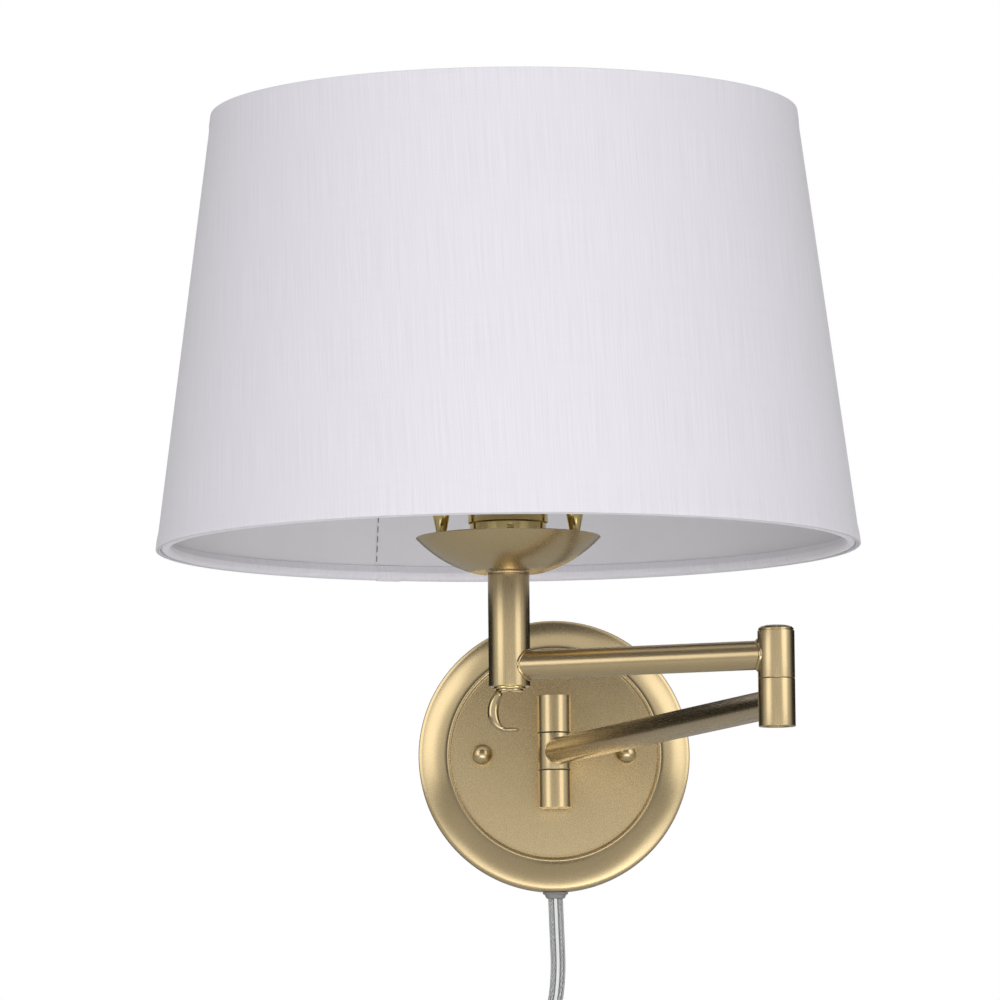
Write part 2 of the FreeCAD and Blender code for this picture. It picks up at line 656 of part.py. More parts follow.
def make_harp_saddle():
    """Bent strap across the cup with a tapered sleeve at each end."""
    lift = cup_seat() + 3.4
    half = value("harp_half")
    top = value("socket_base")
    strap = prism("Strap", "XZ_Plane", [
        (-half - 0.8, 88), (-half - 0.8, 77.2), (-half + 3.5, 73.4), (-12, lift), (12, lift),
        (half - 3.5, 73.4), (half + 0.8, 77.2), (half + 0.8, 88), (half - 0.8, 88), (half - 0.8, 78.2),
        (half - 4.3, 74.9), (11.4, top), (-11.4, top), (4.3 - half, 74.9), (0.8 - half, 78.2),
        (0.8 - half, 88),
    ], 5.2, on(POST))
    sleeves = []
    for side in (-1, 1):
        foot = on(POST + Vector(side * half, 0, 0))
        sleeves.append(spun("Sleeve", [(0, 78), (2.1, 78), (3.7, 86), (3.7, 93), (0, 93)], foot))
    eye = tube("Eye", 9, 0, lift, top, on(POST))
    saddle = fuse("SaddleBody", [strap, eye] + sleeves)
    node("harp_saddle", cut("Saddle", saddle, [rod("nipple_radius + 0.1", 10, on(POST, lift - 2))]))


def make_harp():
    """Round wire from one sleeve to the other by way of the crown."""
    half, wide, crown = value("harp_half"), value("harp_wide"), value("harp_top")
    foot = value("harp_foot")
    right = [(half, foot), (half, foot + 16), (wide, foot + 52), (wide, crown - 26), (12, crown)]
    points = [Vector(x, 0, z) for x, z in right] + [Vector(-x, 0, z) for x, z in reversed(right)]
    radii = [22, 30, 24, 26]
    wire, _ = swept(points, radii + radii[::-1], value("harp_wire"))
    node("harp_wire", shaped("HarpWire", wire, on(POST)))
    sleeve = tube("Ferrule", 4.2, "harp_wire", "harp_foot", "harp_foot + 13")
    feet = [on(POST + Vector(side * half, 0, 0)) for side in (-1, 1)]
    node("harp_ferrules", shaped("Ferrules", copies(sleeve, feet)))
    node("harp_stud", spun("HarpStud", [
        (0, "harp_top - 3"), (4.6, "harp_top - 3"), (4.6, "harp_top + 3"), (3.1, "harp_top + 3"),
        (3.1, "harp_top + 14"), (0, "harp_top + 14"),
    ], on(POST)))


def make_socket():
    base, r, lip, step = "socket_base", "socket_radius", "socket_lip", "socket_step"
    node("socket_cap", spun("SocketCap", [
        ("nipple_radius", base), (8.5, base), (8.5, f"{base} + 2.2"), (11.5, f"{base} + 2.6", 5.6),
        (r, f"{base} + 7.7"), (r, f"{step} - 0.4"), (lip, step), (lip, f"{step} + 4.6"),
        (f"{lip} - 0.7", f"{step} + 4.6"), (f"{lip} - 0.7", f"{step} + 0.4"), (f"{r} - 0.8", f"{step} - 0.4"),
        (f"{r} - 0.8", f"{base} + 8.2"), (10.5, f"{base} + 3.6"), ("nipple_radius", f"{base} + 3.6"),
    ], on(POST)))
    node("socket_shell", spun("SocketShell", [
        (f"{r} - 0.7", f"{step} + 0.5"), (r, f"{step} + 0.5"), (r, "socket_mouth - 1.4"),
        (f"{r} + 0.6", "socket_mouth - 0.7"), (r, "socket_mouth"), (f"{r} - 0.7", "socket_mouth"),
    ], on(POST)))
    node("socket_insulator", tube("Insulator", f"{r} - 0.8", f"{r} - 1.6", f"{step} + 1", "socket_mouth - 1",
                                  on(POST)))
    body = tube("SwitchBody", 14.4, 0, 84.2, 97.6, on(POST))
    node("rotary_switch", cut("Switch", body, [rod("rod_radius + play", 9, on(POST, 84))]))
    node("screw_shell", tube("ScrewShell", "lamp_base_radius + 0.9", "lamp_base_radius + 0.3", 97.6, 119,
                             on(POST)))
    node("centre_contact", tube("Contact", 3, 0, 97.6, 99.5, on(POST)))
    head = (1.6, 0.8, dome(1.6, 0.7))
    node("socket_screw", spun("CapScrew", [(0, -2), (1.2, -2), (1.2, 0), (1.6, 0), head, (0, 1.5)],
                              Placement(POST + Vector(1, -value("socket_radius"), 79.6), OUTWARD)))


def make_bulb():
    base_top = 119.5
    node("bulb_base", spun("BulbBase", [
        (0, 99.6), (4.5, 99.6), (9.5, 103), ("lamp_base_radius", 104.5), ("lamp_base_radius", base_top),
        (0, base_top),
    ], on(POST)))
    centre = "bulb_top - bulb_radius"
    node("bulb_glass", spun("BulbGlass", [
        (0, base_top), (12.6, base_top), (13.4, 128, -60), (25.98, f"{centre} - 15", "bulb_radius"),
        ("bulb_radius", centre, "bulb_radius"), (0, "bulb_top"),
        (0, "bulb_top - 1", "-(bulb_radius - 1)"), ("bulb_radius - 1", centre, "-(bulb_radius - 1)"),
        (25.12, f"{centre} - 14.5", 61), (12.4, 128.4), (11.6, 121), (0, 121),
    ], on(POST)))


# ---------------------------------------------------------------- shade
SLOPE = "(shade_bottom_radius - shade_top_radius) / (shade_top - shade_bottom)"


def cone_skin(label, inset):
    """A thin cone, moved in from the shade's outer face by an amount measured along the radius."""
    outer_low, outer_high = f"shade_bottom_radius - {inset}", f"shade_top_radius - {inset}"
    return spun(label, [
        (f"{outer_low} - skin", "shade_bottom"), (outer_low, "shade_bottom"),
        (outer_high, "shade_top"), (f"{outer_high} - skin", "shade_top"),
    ], on(POST))


def ring(label, radius, height):
    """Round ring wire."""
    torus = doc.addObject("Part::Torus", label)
    bind(torus, "Radius1", radius)
    bind(torus, "Radius2", "ring_wire")
    torus.Placement = on(POST, height)
    return torus


def hem_band(label, radius, low):
    """Narrow tape inside a rim that covers the ring wire and leans as the shade does."""
    return spun(label, [
        (f"{radius} - 0.5", low), (radius, low),
        (f"{radius} - {SLOPE} * hem", f"{low} + hem"), (f"{radius} - 0.5 - {SLOPE} * hem", f"{low} + hem"),
    ], on(POST))


def make_shade():
    node("shade_cover", cone_skin("ShadeCover", "0"))
    node("shade_lining", cone_skin("ShadeLining", "(skin + skin_gap)"))
    clear = "(2 * skin + skin_gap + ring_wire + 0.35)"
    node("shade_rings", group("Rings", [
        ring("LowerRing", f"shade_bottom_radius - {clear} - 0.1", "shade_bottom + ring_wire + 0.4"),
        ring("UpperRing", f"shade_top_radius - {clear}", "shade_top - ring_wire - 0.4"),
    ]))
    inner = f"({clear} + ring_wire + 0.3)"
    node("hem_tapes", group("Hems", [
        hem_band("LowerHem", f"shade_bottom_radius - {inner}", "shade_bottom"),
        hem_band("UpperHem", f"shade_top_radius - {inner} + {SLOPE} * hem", "shade_top - hem"),
    ]))


def make_spider():
    """Washer and three arms that carry the upper ring on the harp's stud."""
    hub = value("harp_top") + 3
    washer = Part.makeCylinder(11, 1.6).cut(Part.makeCylinder(3.3, 1.6))
    washer.translate(Vector(0, 0, hub))
    reach = value("shade_top_radius - 2 * skin - skin_gap - 2 * ring_wire - 0.35")
    rim = value("shade_top - ring_wire - 0.4")
    way = [Vector(8, 0, hub + 0.8), Vector(30, 0, hub + 0.8), Vector(reach - 16, 0, rim),
           Vector(reach, 0, rim)]
    arm, _ = swept(way, [40, 30], 1.4)
    arms = [arm.copy() for _ in range(3)]
    for number, piece in enumerate(arms):
        piece.rotate(Vector(0, 0, 0), Z_AXIS, 90 + 120 * number)
    node("shade_spider", shaped("Spider", washer.multiFuse(arms), on(POST)))
    top = value("harp_top")
    node("finial", spun("Finial", [
        (3.1, top + 4.7), (6.6, top + 4.7), (6.6, top + 6.4), (4.2, top + 7.6),
        (4.2, top + 9.4, dome(4.2, 11.6)),
        (0, top + 21), (0, top + 14.2), (3.1, top + 14.2),
    ], on(POST)))


# ---------------------------------------------------------------- supply lead
def oval_wire(length, width, z):
    """The outline of a slot shape at a height."""
    half, r = (length - width) / 2, width / 2
    right = Part.Arc(Vector(half, -r, z), Vector(half + r, 0, z), Vector(half, r, z)).toShape()
    left = Part.Arc(Vector(-half, r, z), Vector(-half - r, 0, z), Vector(-half, -r, z)).toShape()
    upper = Part.LineSegment(Vector(half, r, z), Vector(-half, r, z)).toShape()
    lower = Part.LineSegment(Vector(-half, -r, z), Vector(half, -r, z)).toShape()
    return Part.Wire([right, upper, left, lower])


def make_bushing():
    """Snap-in bushing: a long tapered sleeve inside the plate and a short oval nose below it."""
    rim, end = -value("plate_radius"), -value("bushing_end")
    sleeve = Part.makeLoft([oval_wire(7.8, 4.2, -44.5), oval_wire(8.4, 4.4, rim + 0.4)], True)
    flange = Part.makeLoft([oval_wire(12, 7, rim - 0.1), oval_wire(11.6, 6.8, rim - 1.1)], True)
    nose = Part.makeLoft([oval_wire(10.4, 6.2, rim - 1.1), oval_wire(8.4, 5.2, end)], True)
    neck = Part.makeLoft([oval_wire(8.4, 4.4, rim + 0.4), oval_wire(8.4, 4.4, rim - 0.1)], True)
    shape = sleeve.multiFuse([neck, flange, nose])
    node("cord_bushing", shaped("Bushing", shape, at(0, "-cord_out")))


def make_coil():
    """The wound lead as one ring with a rounded section, and its tie."""
    low, high = "coil_mean - coil_half_radial", "coil_mean + coil_half_radial"
    place = Placement(Vector(value("coil_x"), -value("coil_out"), -value("coil_drop")), OUTWARD)
    node("cord_coil", spun("Coil", [
        (f"{low} + 3", "-coil_half_deep"), (f"{high} - 3", "-coil_half_deep", 3),
        (high, "3 - coil_half_deep"), (high, "coil_half_deep - 3", 3),
        (f"{high} - 3", "coil_half_deep"), (f"{low} + 3", "coil_half_deep", 3),
        (low, "coil_half_deep - 3"), (low, "3 - coil_half_deep", 3),
    ], place))
    angle = math.radians(157)
    spoke = Vector(math.cos(angle), 0, math.sin(angle))
    centre = place.Base + spoke * value("coil_mean")
    turn = Rotation(spoke, Y_AXIS, Vector(-math.sin(angle), 0, math.cos(angle)), "XYZ")
    half_r, half_d = value("coil_half_radial"), value("coil_half_deep")
    band = Part.makeBox(2 * half_r + 1.6, 2 * half_d + 1.6, 7, Vector(-half_r - 0.8, -half_d - 0.8, -3.5))
    band = band.makeFillet(2.6, [e for e in band.Edges if abs(e.BoundBox.ZLength - 7) < 0.01])
    hole = Part.makeBox(2 * half_r, 2 * half_d, 9, Vector(-half_r, -half_d, -4.5))
    node("cord_tie", shaped("Tie", band.cut(hole), Placement(centre, turn)))


def make_plug():
    """Flat two-blade plug at the end of the tail, blades down."""
    top = Vector(*TAIL_ROUTE[-1])
    length = value("plug_length")
    body = Part.makeLoft([oval_wire(9, 7.6, 0), oval_wire(11, 8.6, -8), oval_wire(22, 12.4, -14)], True, True)
    block_part = Part.makeLoft([oval_wire(22, 12.4, -14), oval_wire(24, 13, -length)], True)
    node("plug_body", shaped("PlugBody", body.fuse(block_part), Placement(top, Rotation())))
    blades = []
    for side in (-1, 1):
        blade = Part.makeBox(1.5, 6.3, value("blade_length"), Vector(-0.75, -3.15, 0))
        blade = blade.cut(Part.makeCylinder(1.4, 4, Vector(-2, 0, 3.2), X_AXIS))
        blade.translate(Vector(side * value("blade_spacing") / 2, 0, -length - value("blade_length")))
        blades.append(blade)
    node("plug_blades", shaped("PlugBlades", Part.makeCompound(blades), Placement(top, Rotation())))


# ---------------------------------------------------------------- make, check and write
def check():
    """Stop if anything in the document failed, or a sub-part is empty, broken or named twice."""
    doc.recompute()
    failed = [o.Label for o in doc.Objects if "Invalid" in o.State or "Error" in o.State]
    if failed:
        raise RuntimeError(f"failed objects: {failed}")
    for piece in nodes:
        if piece.Shape.isNull() or not piece.Shape.isValid() or piece.Shape.Volume <= 0:
            raise RuntimeError(f"{piece.Label} has no valid shape")
    labels = [piece.Label for piece in nodes]
    if len(set(labels)) != len(labels):
        raise RuntimeError("two sub-parts share a name")


def write():
    os.makedirs("parts", exist_ok=True)
    for piece in nodes:
        piece.Shape.exportStep(f"parts/{piece.Label}.step")
        box = piece.Shape.BoundBox
        print(f"{piece.Label:22s} solids {len(piece.Shape.Solids)}  volume {piece.Shape.Volume:10.1f}  "
              f"x {box.XMin:7.1f} {box.XMax:7.1f}  y {box.YMin:7.1f} {box.YMax:7.1f}  "
              f"z {box.ZMin:7.1f} {box.ZMax:7.1f}")


make_wall_plate()
make_crossbar()
make_plate_fixings()
make_pivot_yoke()
make_pivot_fittings()
make_plate_leads()
make_lower_arm()
make_upper_arm()
make_post()
make_switch_key()
make_cup()
make_nipple()
make_harp_saddle()
make_harp()
make_socket()
make_bulb()
make_shade()
make_spider()
make_bushing()
cord("supply_cord", LEAD_ROUTE)
cord("cord_tail", TAIL_ROUTE)
make_coil()
make_plug()
check()
write()
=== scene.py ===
"""Swing arm wall sconce: the visible surfaces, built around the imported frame.

Metres, +Z up. The wall is the plane Y = 0, the lamp stands out towards -Y, and +X is to the right
when you face the wall.
"""
import functools
import json
import math

import bmesh
import bpy
from bpy.props import FloatProperty, FloatVectorProperty, IntProperty, PointerProperty
from bpy.types import Operator, Panel, PropertyGroup
from mathutils import Matrix, Vector

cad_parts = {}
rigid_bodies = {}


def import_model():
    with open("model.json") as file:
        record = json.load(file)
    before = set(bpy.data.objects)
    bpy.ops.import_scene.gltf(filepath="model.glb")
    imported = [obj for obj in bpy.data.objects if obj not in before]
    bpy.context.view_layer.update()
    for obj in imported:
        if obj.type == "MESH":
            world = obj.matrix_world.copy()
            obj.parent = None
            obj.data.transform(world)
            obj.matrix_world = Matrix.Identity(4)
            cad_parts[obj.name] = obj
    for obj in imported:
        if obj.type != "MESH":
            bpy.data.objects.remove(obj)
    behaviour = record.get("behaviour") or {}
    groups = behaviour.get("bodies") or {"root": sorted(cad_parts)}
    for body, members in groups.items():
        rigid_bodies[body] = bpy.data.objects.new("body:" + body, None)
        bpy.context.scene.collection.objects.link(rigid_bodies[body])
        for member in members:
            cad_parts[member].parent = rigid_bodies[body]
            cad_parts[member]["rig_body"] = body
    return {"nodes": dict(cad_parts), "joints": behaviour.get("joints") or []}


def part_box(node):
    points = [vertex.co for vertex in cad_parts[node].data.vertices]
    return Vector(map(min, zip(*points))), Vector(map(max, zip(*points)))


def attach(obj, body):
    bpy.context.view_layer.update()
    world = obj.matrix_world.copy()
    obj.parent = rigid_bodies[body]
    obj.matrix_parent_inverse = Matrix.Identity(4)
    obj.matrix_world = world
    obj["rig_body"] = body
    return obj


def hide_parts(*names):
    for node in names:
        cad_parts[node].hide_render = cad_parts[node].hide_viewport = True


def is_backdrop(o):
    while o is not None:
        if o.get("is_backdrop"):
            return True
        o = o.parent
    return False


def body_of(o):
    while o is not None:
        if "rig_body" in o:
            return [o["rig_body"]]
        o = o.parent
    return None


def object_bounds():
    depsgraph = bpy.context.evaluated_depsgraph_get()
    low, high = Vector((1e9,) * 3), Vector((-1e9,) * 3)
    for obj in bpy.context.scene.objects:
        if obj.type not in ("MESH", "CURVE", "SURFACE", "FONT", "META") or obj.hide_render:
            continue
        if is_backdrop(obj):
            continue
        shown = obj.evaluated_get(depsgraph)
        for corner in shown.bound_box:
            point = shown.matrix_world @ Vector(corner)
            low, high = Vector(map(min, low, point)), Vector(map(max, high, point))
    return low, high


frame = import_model()

CAD_BOX = [list(corner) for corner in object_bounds()]

bl_info = {
    "name": "Swing arm wall sconce",
    "version": (1, 0, 0),
    "blender": (4, 5, 0),
    "location": "View3D > Sidebar > Sconce",
    "description": "Builds the visible surfaces and finishes of a swing arm wall sconce",
    "category": "Object",
}

MM = 0.001
TURN = 2 * math.pi


# ---------------------------------------------------------------- places taken from the frame
def joint(name):
    """Where a joint's axis stands."""
    return Vector(next(j["pos_m"] for j in frame["joints"] if j["name"] == name))


@functools.cache
def corners(node):
    """A node's lower and upper corner, in millimetres."""
    lower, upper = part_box(node)
    return lower / MM, upper / MM


def low(node):
    return corners(node)[0]


def high(node):
    return corners(node)[1]


def radius_of(node):
    """Half the width of a node, in millimetres."""
    return (high(node).x - low(node).x) / 2


PIVOT = joint("wall_pivot")
ELBOW = Vector((joint("elbow").x, joint("elbow").y, 0))
POST = Vector((joint("switch_turn").x, joint("switch_turn").y, 0))
LOWER_WAY = (ELBOW - PIVOT).normalized()
UPPER_WAY = (POST - ELBOW).normalized()
OUTWARD = Matrix.Rotation(math.radians(90), 4, "X")
SHARP = math.radians(38)

# the shade's outer face: heights, radii at its foot and top, slant and lean
SHADE_FOOT, SHADE_TOP = low("shade_cover").z, high("shade_cover").z
SHADE_WIDE = radius_of("shade_cover")
SHADE_NARROW = max((v.co - POST).xy.length for v in frame["nodes"]["shade_cover"].data.vertices
                   if v.co.z > (SHADE_TOP - 0.1) * MM) / MM
SHADE_SLANT = math.hypot(SHADE_WIDE - SHADE_NARROW, SHADE_TOP - SHADE_FOOT)
SHADE_LEAN = (SHADE_WIDE - SHADE_NARROW) / SHADE_SLANT


# ---------------------------------------------------------------- settings
class SconceBrass(PropertyGroup):
    """Brass finishes, the braze beads and the steps of turned pieces."""

    satin: FloatVectorProperty(
        name="Satin brass", description="Colour of the satin lacquered brass",
        subtype="COLOR", min=0, max=1, default=(0.52, 0.405, 0.225))
    polished: FloatVectorProperty(
        name="Polished brass", description="Colour of the polished brass",
        subtype="COLOR", min=0, max=1, default=(0.62, 0.50, 0.22))
    satin_roughness: FloatProperty(
        name="Satin roughness", description="Roughness of the satin brass", min=0, max=1, default=0.27)
    bead: FloatProperty(
        name="Braze bead", description="Radius of the bead where an arm meets a barrel",
        unit="LENGTH", default=0.55 * MM)
    steps: IntProperty(
        name="Steps round", description="Facets round a turned piece", min=24, max=256, default=112)


class SconceShade(PropertyGroup):
    """Cloth of the shade, its lining and its hems."""

    linen: FloatVectorProperty(
        name="Linen", description="Colour of the cloth", subtype="COLOR", min=0, max=1,
        default=(0.708, 0.692, 0.736))
    lining: FloatVectorProperty(
        name="Lining", description="Colour of the stiff lining", subtype="COLOR", min=0, max=1,
        default=(0.74, 0.73, 0.76))
    thread: FloatProperty(
        name="Thread pitch", description="Distance from one thread to the next", unit="LENGTH",
        default=0.6 * MM)
    hem: FloatProperty(
        name="Hem", description="Height of the turned hem", unit="LENGTH", default=6.5 * MM)
    proud: FloatProperty(
        name="Hem rise", description="How far the cloth stands out over the hem", unit="LENGTH",
        default=0.3 * MM)
    seam: FloatProperty(
        name="Seam", description="Place of the seam round the shade, from straight back towards the left",
        subtype="ANGLE", default=math.radians(21.5))
    overlap: FloatProperty(
        name="Overlap", description="Width of the overlap at the seam", unit="LENGTH", default=11 * MM)


class SconceLead(PropertyGroup):
    """The flat clear lead, its coil and its plug."""

    width: FloatProperty(
        name="Width", description="Across both cores", unit="LENGTH", default=6.9 * MM)
    thick: FloatProperty(
        name="Thickness", description="Across one core", unit="LENGTH", default=3.2 * MM)
    core: FloatProperty(
        name="Conductor", description="Radius of one stranded conductor", unit="LENGTH", default=0.98 * MM)
    length: FloatProperty(
        name="Length", description="From the bushing to the plug", unit="LENGTH", default=1.8)
    coil_radius: FloatProperty(
        name="Outer turn", description="Radius of the coil's outer turns", unit="LENGTH",
        default=43.4 * MM)
    coil_depth: FloatProperty(
        name="Winding", description="Radial depth of the winding", unit="LENGTH", default=11.4 * MM)
    turns: FloatProperty(
        name="Turns", description="Turns in the coil", default=7.125)


class SconceStage(PropertyGroup):
    """Camera, lights and floor."""

    lens: FloatProperty(
        name="Lens", description="Focal length on a 36 mm sensor", unit="CAMERA", default=263.1)
    place: FloatVectorProperty(
        name="Camera place", description="Where the camera stands", subtype="TRANSLATION",
        default=(-0.0249, -3.4306, -0.2384))
    pitch: FloatProperty(
        name="Pitch", description="Upward tilt of the camera", subtype="ANGLE", default=math.radians(6.0))
    yaw: FloatProperty(
        name="Yaw", description="Turn of the camera about the vertical", subtype="ANGLE",
        default=math.radians(-0.013))
    roll: FloatProperty(
        name="Roll", description="Turn of the camera about its own line of sight", subtype="ANGLE",
        default=math.radians(-0.58))
    floor: FloatProperty(
        name="Floor", description="Height of the floor", unit="LENGTH", default=-0.75)
    key: FloatProperty(
        name="Side lights", description="Power of each of the two large front lights", unit="POWER",
        default=7.0)
    fill: FloatProperty(
        name="Ambient", description="Strength of the even light from the front", default=0.78)


SETTINGS = {
    "sconce_brass": SconceBrass,
    "sconce_shade": SconceShade,
    "sconce_lead": SconceLead,
    "sconce_stage": SconceStage,
}


# ---------------------------------------------------------------- node graphs
class Wire:
    """An output socket. Arithmetic on it adds Math nodes to its graph."""

    def __init__(self, graph, socket):
        self.graph = graph
        self.socket = socket

    def math(self, operation, *others):
        return self.graph.add("ShaderNodeMath", {"operation": operation}, dict(enumerate((self, *others))))

    def __add__(self, other):
        return self.math("ADD", other)

    def __sub__(self, other):
        return self.math("SUBTRACT", other)

    def __rsub__(self, other):
        return self.graph.add("ShaderNodeMath", {"operation": "SUBTRACT"}, {0: other, 1: self})

    def __mul__(self, other):
        return self.math("MULTIPLY", other)

    __radd__ = __add__
    __rmul__ = __mul__


class Graph:
    """Adds nodes to one node tree."""

    def __init__(self, tree):
        self.tree = tree
        tree.nodes.clear()

    def add(self, kind, settings=None, values=None, out=0):
        """One node: its type, its settings, then the values or links of its sockets."""
        item = self.tree.nodes.new(kind)
        for name, value in (settings or {}).items():
            setattr(item, name, value)
        for key, value in (values or {}).items():
            if isinstance(value, Wire):
                self.tree.links.new(value.socket, item.inputs[key])
            else:
                item.inputs[key].default_value = value
        return Wire(self, item.outputs[out]) if len(item.outputs) else None

    def place(self):
        """Object coordinates."""
        return self.add("ShaderNodeTexCoord", out="Object")

    def flat(self):
        """The piece's own map."""
        return self.add("ShaderNodeUVMap", {"uv_map": "UVMap"})

    def part(self, vector, axis):
        """One number of a vector."""
        return self.add("ShaderNodeSeparateXYZ", None, {"Vector": vector}, axis)

    def mapped(self, vector, scale, turn=(0, 0, 0), shift=(0, 0, 0)):
        return self.add("ShaderNodeMapping", None,
                        {"Vector": vector, "Scale": scale, "Rotation": turn, "Location": shift})

    def noise(self, vector, scale, detail=2.0, rough=0.5):
        return self.add("ShaderNodeTexNoise", None,
                        {"Vector": vector, "Scale": scale, "Detail": detail, "Roughness": rough})

    def mix(self, factor, first, second):
        """A blend of two colours."""
        return self.add("ShaderNodeMix", {"data_type": "RGBA"}, {0: factor, 6: first, 7: second}, 2)

    def bump(self, height, strength, depth):
        """Bumps of a depth in millimetres."""
        return self.add("ShaderNodeBump", None,
                        {"Height": height, "Strength": strength, "Distance": depth * MM})


def shaded(colour, *shares):
    """A colour made lighter or darker by each share."""
    tones = [(*[min(1.0, c * share) for c in colour[:3]], 1.0) for share in shares]
    return tones if len(tones) > 1 else tones[0]


def material(name, build):
    """A material of one surface shader, with the values and wires that build gives."""
    made = bpy.data.materials.new(name)
    made.use_nodes = True
    graph = Graph(made.node_tree)
    surface = graph.add("ShaderNodeBsdfPrincipled", None, build(graph))
    graph.add("ShaderNodeOutputMaterial", None, {"Surface": surface})
    return made


# ---------------------------------------------------------------- finishes
def satin_brass(name, way=None):
    """Lacquered satin brass. With a way, its fine lines run along it; without, the grain is even."""
    brass = bpy.context.scene.sconce_brass
    stretch = 0.016
    drift, strength = (0.1, 0.006) if way is None else (0.3, 0.1)

    def build(graph):
        place = graph.place()
        if way is None:
            lines = graph.noise(place, 1900.0, 3.0, 0.6)
        else:
            upright = abs(way.z) > abs(way.x) + abs(way.y)
            scale = (1, 1, stretch) if upright else (stretch, 1, 1)
            turn = 0 if upright else -math.atan2(way.y, way.x)
            turned = graph.mapped(place, (1, 1, 1), (0, 0, turn))
            lines = graph.noise(graph.mapped(turned, scale), 2600.0, 3.0, 0.6)
        tone = graph.mix(graph.noise(place, 38.0, 3.0, 0.55), *shaded(brass.satin, 0.93, 1.06))
        return {
            "Base Color": graph.mix(lines * drift, tone, shaded(brass.satin, 1.12)),
            "Metallic": 1.0,
            "Roughness": lines * 0.06 + (brass.satin_roughness - 0.03),
            "Coat Weight": 0.25,
            "Coat Roughness": 0.3,
            "Normal": graph.bump(lines, strength, 0.02),
        }

    return material(name, build)


def clouded(name, tones, noises, rough, bumps=None, fixed=None):
    """A surface that drifts between two tones with the first of its noises.

    rough and bumps each begin with the number of the noise that they follow. Then come its share and the
    least roughness, or the strength and depth of the bumps.
    """
    def build(graph):
        place = graph.place()
        made = [graph.noise(place, *noise) for noise in noises]
        values = {"Base Color": graph.mix(made[0], *tones), "Roughness": made[rough[0]] * rough[1] + rough[2]}
        if bumps:
            values["Normal"] = graph.bump(made[bumps[0]], *bumps[1:])
        return values | (fixed or {})

    return material(name, build)


def polished_brass(name, tint, gloss):
    """Polished brass with a faint swirl."""
    return clouded(name, shaded(tint, 0.9, 1.07), [(160.0, 3.0, 0.6), (900.0, 2.0, 0.6)],
                   (1, 0.08, gloss), (0, 0.15, 0.04), {"Metallic": 1.0})


def moulded(name, colour, roughness):
    """Plain moulded plastic with a fine orange-peel skin."""
    return clouded(name, shaded(colour, 0.92, 1.06), [(90.0, 3.0), (900.0, 2.0)],
                   (0, 0.12, roughness - 0.06), (1, 0.25, 0.04))


def clear_plastic(name, tint):
    """Soft clear plastic of the lead and the plug."""
    return clouded(name, shaded(tint, 0.95, 1.02), [(240.0, 3.0)], (0, 0.08, 0.08), (0, 0.15, 0.05),
                   {"IOR": 1.46, "Transmission Weight": 0.93})


def smooth_lining(name):
    """Stiff lining film with a faint haze."""
    return clouded(name, shaded(bpy.context.scene.sconce_shade.lining, 0.95, 1.04),
                   [(26.0, 4.0, 0.6), (1500.0, 2.0)], (0, 0.1, 0.5), (1, 0.15, 0.03),
                   {"Specular IOR Level": 0.3})


def frosted(name):
    """White coated lamp glass."""
    return clouded(name, ((0.84, 0.84, 0.82, 1), (0.92, 0.92, 0.90, 1)), [(60.0, 3.0)], (0, 0.1, 0.28), None,
                   {"Transmission Weight": 0.25, "Coat Weight": 0.3, "Coat Roughness": 0.12})


def plated(name, colour, roughness):
    """Zinc or nickel plating with a fine mottled skin."""
    def build(graph):
        place = graph.place()
        spots = graph.add("ShaderNodeTexVoronoi", None, {"Vector": place, "Scale": 700.0}, "Distance")
        cloud = graph.noise(place, 220.0, 3.0)
        return {
            "Base Color": graph.mix(cloud, *shaded(colour, 0.85, 1.1)),
            "Metallic": 1.0,
            "Roughness": spots * 0.15 + roughness,
            "Normal": graph.bump(cloud, 0.2, 0.03),
        }

    return material(name, build)


def card(name):
    """Waxed fibre card."""
    def build(graph):
        fibres = graph.noise(graph.mapped(graph.place(), (1, 1, 0.12)), 1500.0, 4.0, 0.7)
        return {
            "Base Color": graph.mix(fibres, (0.40, 0.28, 0.15, 1), (0.62, 0.49, 0.32, 1)),
            "Roughness": 0.75,
            "Normal": graph.bump(fibres, 0.4, 0.05),
        }

    return material(name, build)


def stranded(name):
    """Bright tinned strands, twisted round each conductor. The piece's own map runs round and along."""
    strands, twist = 7, 2.4 * MM

    def build(graph):
        uv = graph.flat()
        phase = graph.part(uv, "X") * (TURN * strands) + graph.part(uv, "Y") * (TURN / twist)
        ridge = phase.math("SINE") * 0.5 + 0.5
        # The colour runs from dark in the grooves between strands to bright on their crowns: painted shade in
        # the grooves.
        return {
            "Base Color": graph.mix(ridge, (0.14, 0.14, 0.14, 1), (0.92, 0.92, 0.91, 1)),
            "Metallic": 1.0,
            "Roughness": 0.22,
            "Normal": graph.bump(ridge, 0.8, 0.15),
        }

    return material(name, build)


